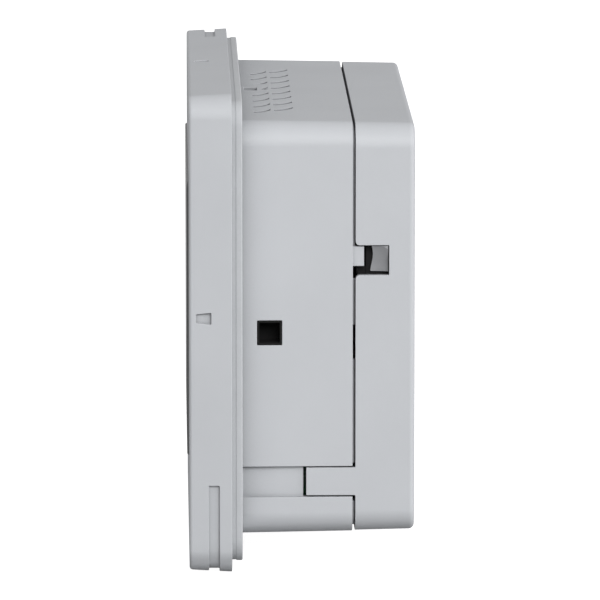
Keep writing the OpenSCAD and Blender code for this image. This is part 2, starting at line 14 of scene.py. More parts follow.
import bmesh
import bpy
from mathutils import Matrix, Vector


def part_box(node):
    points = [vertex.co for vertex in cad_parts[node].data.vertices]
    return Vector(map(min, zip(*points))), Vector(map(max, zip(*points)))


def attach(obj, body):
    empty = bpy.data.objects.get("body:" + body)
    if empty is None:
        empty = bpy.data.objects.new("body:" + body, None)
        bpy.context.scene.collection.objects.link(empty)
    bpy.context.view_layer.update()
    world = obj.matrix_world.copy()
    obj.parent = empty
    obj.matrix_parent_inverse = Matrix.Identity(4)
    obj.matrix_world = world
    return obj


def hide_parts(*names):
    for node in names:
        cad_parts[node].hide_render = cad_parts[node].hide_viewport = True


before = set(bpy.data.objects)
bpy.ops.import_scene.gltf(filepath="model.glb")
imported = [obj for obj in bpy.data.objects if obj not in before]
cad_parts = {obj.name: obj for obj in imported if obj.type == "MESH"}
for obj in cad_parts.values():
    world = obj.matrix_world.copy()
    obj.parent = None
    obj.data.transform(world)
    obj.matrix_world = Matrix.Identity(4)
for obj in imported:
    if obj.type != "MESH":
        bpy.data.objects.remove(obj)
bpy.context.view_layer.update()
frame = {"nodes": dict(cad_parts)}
LOG = logging.getLogger("terminal")

MM = 0.001            # metres in a millimetre
CORNER_STEPS = 16     # straight stretches in each rounded corner
ROUND_STEPS = 48      # sides of a round bar
EPS = 0.01            # overlap that keeps a cut clean, in millimetres
MERGE = 2e-6          # points closer than this are one, in metres
FLAT_ANGLE = 0.3      # faces that turn less than this are one flat, in degrees
SAME_PLANE = 0.99999  # cosine between faces that share one normal
NARROW_GAP = 1.6      # gaps up to this width get painted shade, in millimetres
PAINTED_SHADE_TONE = 0.12    # share of a colour that is left where the painted shade is deepest
PIT_TONE = 0.72       # share of a colour that is left in the pits of a grain
PORE_TONE = 0.6       # share of a colour that is left in the pores of rubber
DUST = (0.42, 0.41, 0.39, 1.0)
PALE_DUST = (0.45, 0.44, 0.42, 1.0)
BARE_METAL = (0.85, 0.85, 0.86, 1.0)
WHITE = (1.0, 1.0, 1.0, 1.0)

Point = tuple[float, float, float]
Flat = tuple[float, float]
Station = tuple[float, float]
Socket = bpy.types.NodeSocket


class Body(Enum):
    """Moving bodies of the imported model."""

    DISPLAY = "display_unit"
    MODULE = "rear_module"
    PLUG = "power_plug"
    FLAP = "card_cover"
    LATCH_LEFT = "latch_left"
    LATCH_RIGHT = "latch_right"


class Slot(Enum):
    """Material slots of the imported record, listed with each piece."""

    HOUSING = "housing_plastic"
    GLASS = "touch_glass"
    SCREW = "screw_steel"
    SEAL = "seal_rubber"
    BLACK = "black_plastic"
    ALLOY = "cast_alloy"


class Side(Enum):
    """The two sides of the unit, as the sign of X."""

    LEFT = -1
    RIGHT = 1


class Axis(Enum):
    """Axis along which a profile is drawn out."""

    X = 0
    Y = 1
    Z = 2


# ---- node trees ----


class Wiring:
    """Adds and joins nodes in one shader or geometry tree."""

    def __init__(self, tree: bpy.types.NodeTree) -> None:
        """Starts on a tree.

        Args:
            tree: The tree that the nodes are added to.
        """
        self.tree = tree

    def add(self, kind: str, **settings: object) -> bpy.types.Node:
        """Adds a node.

        Args:
            kind: The node's type name.
            **settings: Attributes set on the node.

        Returns:
            The new node.
        """
        node = self.tree.nodes.new(kind)
        for name, value in settings.items():
            setattr(node, name, value)
        return node

    def feed(self, socket: Socket, value: object) -> None:
        """Links an output into a socket, or sets the socket's own value."""
        if isinstance(value, bpy.types.NodeSocket):
            self.tree.links.new(value, socket)
        else:
            socket.default_value = value

    def math(self, operation: str, *values: object) -> Socket:
        """Returns the result of a Math node on one to three values."""
        node = self.add("ShaderNodeMath", operation=operation)
        for socket, value in zip(node.inputs, values):
            self.feed(socket, value)
        return node.outputs[0]

    def vector(self, operation: str, *values: object) -> bpy.types.Node:
        """Returns a Vector Math node fed with the given values."""
        node = self.add("ShaderNodeVectorMath", operation=operation)
        for socket, value in zip(node.inputs, values):
            self.feed(socket, value)
        return node

    def ramp(self, value: object, low: float, high: float) -> Socket:
        """Returns the value stretched from low..high to a clamped 0..1."""
        node = self.add("ShaderNodeMapRange")
        self.feed(node.inputs["Value"], value)
        node.inputs["From Min"].default_value = low
        node.inputs["From Max"].default_value = high
        return node.outputs["Result"]

    def blend(self, factor: object, first: object, second: object) -> Socket:
        """Returns the colour between two colours at a factor."""
        node = self.add("ShaderNodeMix", data_type="RGBA")
        for index, value in ((0, factor), (6, first), (7, second)):
            self.feed(node.inputs[index], value)
        return node.outputs[2]

    def noise(self, where: object, scale: object, detail: float = 2.0) -> Socket:
        """Returns a noise texture's value at a place."""
        node = self.add("ShaderNodeTexNoise")
        node.inputs["Detail"].default_value = detail
        self.feed(node.inputs["Vector"], where)
        self.feed(node.inputs["Scale"], scale)
        return node.outputs[0]


@dataclass(frozen=True)
class Plug:
    """A named input or output of a node group."""

    name: str
    kind: str = "NodeSocketFloat"
    default: object = None


def new_tree(name: str, kind: str, inputs: Sequence[Plug], outputs: Sequence[Plug]) -> tuple:
    """Makes an empty node group with its sockets.

    Args:
        name: The group's name.
        kind: ShaderNodeTree or GeometryNodeTree.
        inputs: Its inputs.
        outputs: Its outputs.

    Returns:
        The group, its wiring, its Group Input node and its Group Output node.
    """
    tree = bpy.data.node_groups.new(name, kind)
    for plug, way in [(p, "INPUT") for p in inputs] + [(p, "OUTPUT") for p in outputs]:
        socket = tree.interface.new_socket(name=plug.name, in_out=way, socket_type=plug.kind)
        if plug.default is not None:
            socket.default_value = plug.default
    wiring = Wiring(tree)
    return tree, wiring, wiring.add("NodeGroupInput"), wiring.add("NodeGroupOutput")


class ShaderGroups:
    """Surface effects that several finishes share, each built once."""

    _made: dict[str, bpy.types.NodeTree] = {}

    @classmethod
    def get(cls, name: str) -> bpy.types.NodeTree:
        """Returns a group by name, building it the first time."""
        if name not in cls._made:
            cls._made[name] = getattr(cls, f"_{name}")()
        return cls._made[name]

    @staticmethod
    def _moulded_grain() -> bpy.types.NodeTree:
        """Builds the fine pitted grain that an eroded mould leaves on plastic."""
        tree, w, given, out = new_tree(
            "moulded_grain", "ShaderNodeTree",
            [Plug("Vector", "NodeSocketVector"), Plug("Size", default=0.2)],
            [Plug("Height"), Plug("Mask")])
        scale = w.math("DIVIDE", 1000.0, given.outputs["Size"])
        pits = w.add("ShaderNodeTexVoronoi", feature="SMOOTH_F1")
        pits.inputs["Smoothness"].default_value = 0.7
        w.feed(pits.inputs["Vector"], given.outputs["Vector"])
        w.feed(pits.inputs["Scale"], scale)
        soft = w.noise(given.outputs["Vector"], w.math("MULTIPLY", scale, 0.45), 3.0)
        height = w.math("ADD", w.math("MULTIPLY", pits.outputs["Distance"], 0.6),
                        w.math("MULTIPLY", soft, 0.8))
        w.feed(out.inputs["Height"], height)
        w.feed(out.inputs["Mask"], w.ramp(height, 0.35, 0.95))
        return tree

    @staticmethod
    def _tone_drift() -> bpy.types.NodeTree:
        """Builds a slow, slight change of colour over a moulded or painted piece."""
        tree, w, given, out = new_tree(
            "tone_drift", "ShaderNodeTree",
            [Plug("Vector", "NodeSocketVector"), Plug("Colour", "NodeSocketColor"),
             Plug("Size", default=30.0), Plug("Amount", default=0.04)],
            [Plug("Colour", "NodeSocketColor"), Plug("Mask")])
        scale = w.math("DIVIDE", 1000.0, given.outputs["Size"])
        cloud = w.ramp(w.noise(given.outputs["Vector"], scale, 3.0), 0.3, 0.7)
        gain = w.math("ADD", w.math("SUBTRACT", 1.0, given.outputs["Amount"]),
                      w.math("MULTIPLY", w.math("MULTIPLY", cloud, 2.0), given.outputs["Amount"]))
        tint = w.vector("SCALE", given.outputs["Colour"])
        w.feed(tint.inputs["Scale"], gain)
        w.feed(out.inputs["Colour"], tint.outputs[0])
        w.feed(out.inputs["Mask"], cloud)
        return tree

    @staticmethod
    def _edge_polish() -> bpy.types.NodeTree:
        """Builds a mask of the outer edges, where handling rubs the grain smooth."""
        tree, w, given, out = new_tree(
            "edge_polish", "ShaderNodeTree",
            [Plug("Vector", "NodeSocketVector"), Plug("Width", default=0.5)],
            [Plug("Mask")])
        rounded = w.add("ShaderNodeBevel", samples=4)
        w.feed(rounded.inputs["Radius"], w.math("MULTIPLY", given.outputs["Width"], MM))
        faced = w.add("ShaderNodeNewGeometry")
        turn = w.vector("DOT_PRODUCT", rounded.outputs[0], faced.outputs["Normal"])
        edge = w.ramp(w.math("SUBTRACT", 1.0, turn.outputs["Value"]), 0.01, 0.22)
        patches = w.ramp(w.noise(given.outputs["Vector"], 260.0, 4.0), 0.3, 0.65)
        w.feed(out.inputs["Mask"], w.math("MULTIPLY", edge, patches))
        return tree

    @staticmethod
    def _settled_dust() -> bpy.types.NodeTree:
        """Builds a thin film of dust on faces that look up."""
        tree, w, given, out = new_tree(
            "settled_dust", "ShaderNodeTree",
            [Plug("Vector", "NodeSocketVector"), Plug("Amount", default=0.1)],
            [Plug("Mask")])
        faced = w.add("ShaderNodeNewGeometry")
        parts = w.add("ShaderNodeSeparateXYZ")
        w.feed(parts.inputs[0], faced.outputs["Normal"])
        upward = w.ramp(parts.outputs["Z"], 0.2, 1.0)
        specks = w.ramp(w.noise(given.outputs["Vector"], 900.0, 6.0), 0.35, 0.8)
        film = w.math("MULTIPLY", upward, w.math("ADD", 0.5, w.math("MULTIPLY", specks, 0.5)))
        w.feed(out.inputs["Mask"], w.math("MULTIPLY", film, given.outputs["Amount"]))
        return tree

    @staticmethod
    def _crevice_shade() -> bpy.types.NodeTree:
        """Builds a mask of painted shade: corners and gaps that little light gets into."""
        tree, w, given, out = new_tree(
            "crevice_shade", "ShaderNodeTree",
            [Plug("Vector", "NodeSocketVector"), Plug("Reach", default=11.0),
             Plug("Gap", default=NARROW_GAP), Plug("Amount", default=0.5)],
            [Plug("Mask")])
        spread = w.math("MULTIPLY_ADD", w.noise(given.outputs["Vector"], 120.0), 0.1, 0.95)
        faced = w.add("ShaderNodeNewGeometry")
        parts = w.add("ShaderNodeSeparateXYZ")
        w.feed(parts.inputs[0], faced.outputs["Normal"])
        # painted shade from ambient occlusion; the wide reach is kept off faces that look down
        upright = w.ramp(parts.outputs["Z"], -0.6, -0.1)
        masks = []
        for size, low, high in (("Reach", 0.08, 0.62), ("Gap", 0.25, 1.2)):
            open_share = w.add("ShaderNodeAmbientOcclusion", samples=8)
            w.feed(open_share.inputs["Distance"], w.math("MULTIPLY", given.outputs[size], MM))
            hidden = w.math("SUBTRACT", 1.0, open_share.outputs["AO"])
            masks.append(w.ramp(hidden, low, high))
        deepest = w.math("MAXIMUM", w.math("MULTIPLY", masks[0], upright), masks[1])
        w.feed(out.inputs["Mask"],
               w.math("MULTIPLY", w.math("MULTIPLY", deepest, spread), given.outputs["Amount"]))
        return tree

    @staticmethod
    def _ground_edge() -> bpy.types.NodeTree:
        """Builds a mask of the faces that don't look forwards or back."""
        tree, w, given, out = new_tree(
            "ground_edge", "ShaderNodeTree",
            [Plug("Vector", "NodeSocketVector"), Plug("Grit", default=0.1)],
            [Plug("Mask")])
        faced = w.add("ShaderNodeNewGeometry")
        parts = w.add("ShaderNodeSeparateXYZ")
        w.feed(parts.inputs[0], faced.outputs["Normal"])
        across = w.ramp(w.math("ABSOLUTE", parts.outputs["Y"]), 0.75, 0.45)
        grit = w.math("MULTIPLY", w.noise(given.outputs["Vector"], 2500.0), given.outputs["Grit"])
        w.feed(out.inputs["Mask"], w.math("SUBTRACT", across, w.math("MULTIPLY", across, grit)))
        return tree

    @staticmethod
    def _brushed_lines() -> bpy.types.NodeTree:
        """Builds long fine scratches that run along X, as rolling or brushing leaves."""
        tree, w, given, out = new_tree(
            "brushed_lines", "ShaderNodeTree",
            [Plug("Vector", "NodeSocketVector"), Plug("Size", default=0.15)],
            [Plug("Height"), Plug("Mask")])
        stretched = w.vector("MULTIPLY", given.outputs["Vector"], (0.04, 1.0, 1.0))
        scale = w.math("DIVIDE", 1000.0, given.outputs["Size"])
        lines = w.noise(stretched.outputs[0], scale, 4.0)
        w.feed(out.inputs["Height"], lines)
        w.feed(out.inputs["Mask"], w.ramp(lines, 0.3, 0.7))
        return tree

    @staticmethod
    def _copper_tracks() -> bpy.types.NodeTree:
        """Builds rows of short tracks under the solder mask of a circuit board."""
        tree, w, given, out = new_tree(
            "copper_tracks", "ShaderNodeTree",
            [Plug("Vector", "NodeSocketVector"), Plug("Pitch", default=1.27)],
            [Plug("Mask")])
        cells = w.math("DIVIDE", 1000.0, given.outputs["Pitch"])
        scaled = w.vector("SCALE", given.outputs["Vector"])
        w.feed(scaled.inputs["Scale"], cells)
        parts = w.add("ShaderNodeSeparateXYZ")
        w.feed(parts.inputs[0], scaled.outputs[0])
        lane = w.math("FLOOR", parts.outputs["Z"])
        ridge = w.math("ABSOLUTE", w.math("SUBTRACT", w.math("FRACT", parts.outputs["Z"]), 0.5))
        line = w.math("LESS_THAN", ridge, 0.22)
        spot = w.add("ShaderNodeCombineXYZ")
        w.feed(spot.inputs["X"], w.math("MULTIPLY", parts.outputs["X"], 0.06))
        w.feed(spot.inputs["Y"], w.math("MULTIPLY", lane, 7.31))
        run = w.math("GREATER_THAN", w.noise(spot.outputs[0], 1.0, 1.0), 0.5)
        w.feed(out.inputs["Mask"], w.math("MULTIPLY", line, run))
        return tree

    @staticmethod
    def _framed_window() -> bpy.types.NodeTree:
        """Builds a mask that is 1 inside a rectangle across the depth axis."""
        tree, w, given, out = new_tree(
            "framed_window", "ShaderNodeTree",
            [Plug("Vector", "NodeSocketVector"), Plug("Width", default=100.0),
             Plug("Height", default=60.0), Plug("Middle", default=0.0)],
            [Plug("Mask")])
        parts = w.add("ShaderNodeSeparateXYZ")
        w.feed(parts.inputs[0], given.outputs["Vector"])
        lift = w.math("SUBTRACT", parts.outputs["Z"], w.math("MULTIPLY", given.outputs["Middle"], MM))
        inside = [
            w.math("LESS_THAN", w.math("ABSOLUTE", place),
                   w.math("MULTIPLY", given.outputs[size], MM / 2))
            for place, size in ((parts.outputs["X"], "Width"), (lift, "Height"))]
        w.feed(out.inputs["Mask"], w.math("MULTIPLY", *inside))
        return tree


Colour = tuple[float, float, float]


@dataclass(frozen=True)
class Finish:
    """A surface finish: the base of every material, with what they all share."""

    name: str
    colour: Colour
    roughness: float = 0.5

    def material(self) -> bpy.types.Material:
        """Returns the finish's material, building it the first time."""
        known = bpy.data.materials.get(self.name)
        if known is not None and known.get("finished"):
            return known
        made = bpy.data.materials.new(self.name)
        made.use_nodes = True
        made["finished"] = True
        wiring = Wiring(made.node_tree)
        shader = made.node_tree.nodes["Principled BSDF"]
        place = wiring.add("ShaderNodeTexCoord").outputs["Object"]
        self.paint(wiring, shader, place)
        return made

    def paint(self, w: Wiring, shader: bpy.types.Node, place: Socket) -> None:
        """Feeds the shader; each kind of finish has its own.

        Args:
            w: The material's wiring.
            shader: Its Principled BSDF.
            place: Object coordinates.
        """
        raise NotImplementedError

    def group(self, w: Wiring, name: str, place: Socket, **values: object) -> bpy.types.Node:
        """Places a shared group and feeds its inputs.

        Args:
            w: The material's wiring.
            name: The group's name in ShaderGroups.
            place: Coordinates for its Vector input.
            **values: Its other inputs, by name.

        Returns:
            The group node.
        """
        node = w.add("ShaderNodeGroup", node_tree=ShaderGroups.get(name))
        w.feed(node.inputs["Vector"], place)
        for key, value in values.items():
            w.feed(node.inputs[key], value)
        return node

    def shaded(self, w: Wiring, place: Socket, colour: Socket, amount: float, gap: float) -> Socket:
        """Returns a colour with painted shade in its crevices.

        Args:
            w: The material's wiring.
            place: Object coordinates.
            colour: The colour in the open.
            amount: Share of the painted shade.
            gap: Width of the gaps that count as narrow, in millimetres.

        Returns:
            The shaded colour.
        """
        shade = self.group(w, "crevice_shade", place, Gap=gap, Amount=amount)
        return w.blend(shade.outputs["Mask"], colour, (*(c * PAINTED_SHADE_TONE for c in self.colour), 1.0))

    def bump(self, w: Wiring, shader: bpy.types.Node, height: Socket, depth: float) -> None:
        """Feeds a height, in hundredths of a millimetre at full scale, to the normal."""
        node = w.add("ShaderNodeBump")
        node.inputs["Strength"].default_value = 0.6
        node.inputs["Distance"].default_value = depth * MM / 100
        w.feed(node.inputs["Height"], height)
        w.feed(shader.inputs["Normal"], node.outputs[0])


@dataclass(frozen=True)
class MouldedPlastic(Finish):
    """Plastic from an eroded mould, rubbed a little along its edges."""

    grain: float = 0.2
    depth: float = 1.2
    drift: float = 0.02
    dust: float = 0.05
    polish: float = 0.35
    gloss: float = 0.45
    # share of painted shade in crevices and gaps
    painted_shade: float = 0.0
    gap: float = NARROW_GAP

    def paint(self, w: Wiring, shader: bpy.types.Node, place: Socket) -> None:
        """Feeds grain, drift, polished edges and dust to the shader."""
        drift = self.group(w, "tone_drift", place, Colour=(*self.colour, 1.0), Amount=self.drift)
        grain = self.group(w, "moulded_grain", place, Size=self.grain)
        edge = self.group(w, "edge_polish", place, Width=0.45)
        dust = self.group(w, "settled_dust", place, Amount=self.dust)
        lighter = tuple(min(1.0, c * 1.16 + 0.01) for c in self.colour)
        worn = w.blend(w.math("MULTIPLY", edge.outputs["Mask"], self.polish),
                       drift.outputs["Colour"], (*lighter, 1.0))
        pitted = w.blend(w.math("MULTIPLY", grain.outputs["Mask"], 0.06), worn,
                         (*(c * PIT_TONE for c in self.colour), 1.0))
        dusty = w.blend(dust.outputs["Mask"], pitted, DUST)
        # painted shade: the colour darkens in crevices and gaps, from ambient occlusion
        if self.painted_shade:
            dusty = self.shaded(w, place, dusty, self.painted_shade, self.gap)
        w.feed(shader.inputs["Base Color"], dusty)
        rough = w.math("ADD", self.roughness - 0.05,
                       w.math("MULTIPLY", grain.outputs["Mask"], 0.1))
        w.feed(shader.inputs["Roughness"],
               w.math("SUBTRACT", rough, w.math("MULTIPLY", edge.outputs["Mask"], 0.12)))
        shader.inputs["Specular IOR Level"].default_value = self.gloss
        self.bump(w, shader, grain.outputs["Height"], self.depth)


@dataclass(frozen=True)
class SoftRubber(Finish):
    """Elastomer or foam: matt, with fine pores and a faint sheen."""

    pores: float = 0.35
    depth: float = 2.0
    # share of painted shade in crevices and gaps
    painted_shade: float = 0.0

    def paint(self, w: Wiring, shader: bpy.types.Node, place: Socket) -> None:
        """Feeds pores, drift and dust to the shader."""
        drift = self.group(w, "tone_drift", place, Colour=(*self.colour, 1.0), Size=12.0, Amount=0.03)
        grain = self.group(w, "moulded_grain", place, Size=self.pores)
        dust = self.group(w, "settled_dust", place, Amount=0.12)
        pitted = w.blend(w.math("MULTIPLY", grain.outputs["Mask"], 0.12), drift.outputs["Colour"],
                         (*(c * PORE_TONE for c in self.colour), 1.0))
        dusty = w.blend(dust.outputs["Mask"], pitted, PALE_DUST)
        # painted shade: the colour darkens in crevices and gaps, from ambient occlusion
        if self.painted_shade:
            dusty = self.shaded(w, place, dusty, self.painted_shade, NARROW_GAP)
        w.feed(shader.inputs["Base Color"], dusty)
        w.feed(shader.inputs["Roughness"],
               w.math("ADD", self.roughness, w.math("MULTIPLY", grain.outputs["Mask"], 0.12)))
        shader.inputs["Specular IOR Level"].default_value = 0.3
        shader.inputs["Sheen Weight"].default_value = 0.08
        self.bump(w, shader, grain.outputs["Height"], self.depth)


@dataclass(frozen=True)
class BackedGlass(Finish):
    """Glass with a printed border round its window and grey edges frosted by grinding, their grey darkened
    as painted shade on the rim.
    """

    window: tuple[float, float, float] = (121.8, 68.5, 1.5)
    border: Colour = (0.012, 0.013, 0.015)
    ground_grey_and_shade: Colour = (0.23, 0.235, 0.24)
    edge_roughness: float = 0.5

    def paint(self, w: Wiring, shader: bpy.types.Node, place: Socket) -> None:
        """Feeds the print, smears and a clear coat to the shader."""
        width, height, middle = self.window
        window = self.group(w, "framed_window", place, Width=width, Height=height, Middle=middle)
        drift = self.group(w, "tone_drift", place, Colour=(*self.colour, 1.0), Size=55.0, Amount=0.08)
        edge = self.group(w, "ground_edge", place)
        printed = w.blend(window.outputs["Mask"], (*self.border, 1.0), drift.outputs["Colour"])
        # side faces take the edge grey, frosted by grinding and darkened as painted shade on the rim
        w.feed(shader.inputs["Base Color"],
               w.blend(edge.outputs["Mask"], printed, (*self.ground_grey_and_shade, 1.0)))
        smear = w.ramp(w.noise(place, 60.0, 5.0), 0.4, 0.75)
        rough = w.math("ADD", self.roughness, w.math("MULTIPLY", smear, 0.1))
        w.feed(shader.inputs["Roughness"],
               w.math("MAXIMUM", rough, w.math("MULTIPLY", edge.outputs["Mask"], self.edge_roughness)))
        shader.inputs["Coat Weight"].default_value = 0.3
        shader.inputs["Coat Roughness"].default_value = 0.05
        self.bump(w, shader, w.noise(place, 18.0, 2.0), 0.4)


@dataclass(frozen=True)
class BrushedMetal(Finish):
    """Rolled, plated or extruded metal with fine lines."""

    line: float = 0.12
    depth: float = 0.6

    def paint(self, w: Wiring, shader: bpy.types.Node, place: Socket) -> None:
        """Feeds lines, drift and rubbed edges to the shader."""
        drift = self.group(w, "tone_drift", place, Colour=(*self.colour, 1.0), Size=9.0, Amount=0.08)
        lines = self.group(w, "brushed_lines", place, Size=self.line)
        edge = self.group(w, "edge_polish", place, Width=0.2)
        w.feed(shader.inputs["Base Color"],
               w.blend(w.math("MULTIPLY", edge.outputs["Mask"], 0.4), drift.outputs["Colour"],
                       BARE_METAL))
        w.feed(shader.inputs["Roughness"],
               w.math("ADD", self.roughness, w.math("MULTIPLY", lines.outputs["Mask"], 0.16)))
        shader.inputs["Metallic"].default_value = 1.0
        self.bump(w, shader, lines.outputs["Height"], self.depth)


@dataclass(frozen=True)
class Laminate(Finish):
    """Circuit board: solder mask over copper tracks, on woven glass."""

    copper: Colour = (0.035, 0.2, 0.085)

    def paint(self, w: Wiring, shader: bpy.types.Node, place: Socket) -> None:
        """Feeds tracks and weave to the shader."""
        tracks = self.group(w, "copper_tracks", place, Pitch=1.27)
        drift = self.group(w, "tone_drift", place, Colour=(*self.colour, 1.0), Size=14.0, Amount=0.1)
        w.feed(shader.inputs["Base Color"],
               w.blend(tracks.outputs["Mask"], drift.outputs["Colour"], (*self.copper, 1.0)))
        w.feed(shader.inputs["Roughness"],
               w.math("ADD", self.roughness, w.math("MULTIPLY", drift.outputs["Mask"], 0.1)))
        shader.inputs["Coat Weight"].default_value = 0.3
        self.bump(w, shader, tracks.outputs["Mask"], 2.0)


@dataclass(frozen=True)
class MilkyLens(Finish):
    """Frosted light guide or diffusing film."""

    clear: float = 0.5

    def paint(self, w: Wiring, shader: bpy.types.Node, place: Socket) -> None:
        """Feeds a cloudy body colour and a soft surface to the shader."""
        drift = self.group(w, "tone_drift", place, Colour=(*self.colour, 1.0), Size=2.5, Amount=0.06)
        w.feed(shader.inputs["Base Color"], drift.outputs["Colour"])
        w.feed(shader.inputs["Roughness"],
               w.math("ADD", self.roughness, w.math("MULTIPLY", drift.outputs["Mask"], 0.12)))
        shader.inputs["Transmission Weight"].default_value = self.clear
        self.bump(w, shader, w.noise(place, 4000.0, 2.0), 0.5)


class Finishes:
    """The terminal's finishes."""

    # the housing and the seal carry painted shade in their crevices and gaps
    housing = MouldedPlastic("light_grey_housing", (0.545, 0.56, 0.585), 0.52, painted_shade=0.5)
    # latch pad: a darker grey than the housing, with heavy painted shade from the window's edges, gaps up
    # to 5 mm
    latch = MouldedPlastic("grey_latch_plastic", (0.34, 0.345, 0.36), 0.55, painted_shade=0.9, gap=5.0)
    # black of the clamp cups and latch carriers: dark parts standing in for the shade deep in the sockets
    # and behind the latch windows
    black_for_shade = MouldedPlastic("matt_black_plastic", (0.012, 0.012, 0.012), 0.8, dust=0.0,
                                polish=0.0, gloss=0.15)
    seal = SoftRubber("light_grey_seal", (0.53, 0.545, 0.565), 0.62, painted_shade=0.18)
    foam = SoftRubber("black_foam", (0.02, 0.02, 0.021), 0.8, pores=0.5)
    glass = BackedGlass("touch_glass", (0.022, 0.025, 0.03), 0.09)
    cell_glass = BackedGlass("display_cell", (0.02, 0.022, 0.026), 0.12)
    film = MilkyLens("white_film", (0.78, 0.78, 0.75), 0.4, clear=0.1)
    lens = MilkyLens("status_lens", (0.5, 0.68, 0.55), 0.3)
    sheet = BrushedMetal("zinc_plated_sheet", (0.6, 0.61, 0.62), 0.32)
    screw = BrushedMetal("bright_screw_steel", (0.58, 0.58, 0.57), 0.24, line=0.06)
    alloy = BrushedMetal("extruded_alloy", (0.66, 0.67, 0.69), 0.38, line=0.2)
    coin = BrushedMetal("stamped_cell_steel", (0.66, 0.66, 0.65), 0.22, line=0.3)
    gold = BrushedMetal("gilded_contact", (0.78, 0.56, 0.24), 0.25, line=0.05)
    black = MouldedPlastic("black_plastic", (0.012, 0.012, 0.013), 0.48, dust=0.02, polish=0.2)
    chip = MouldedPlastic("chip_package", (0.018, 0.018, 0.02), 0.55, grain=0.1, depth=0.8, dust=0.04)
    can = MouldedPlastic("sleeved_can", (0.02, 0.026, 0.06), 0.3, grain=0.4, depth=0.4)
    terminal = MouldedPlastic("terminal_green", (0.03, 0.17, 0.065), 0.45, grain=0.15, dust=0.03)
    ribbon = MouldedPlastic("amber_ribbon", (0.55, 0.23, 0.03), 0.3, grain=0.6, depth=0.6)
    board = Laminate("green_laminate", (0.012, 0.12, 0.05), 0.35)


# ---- geometry trees ----


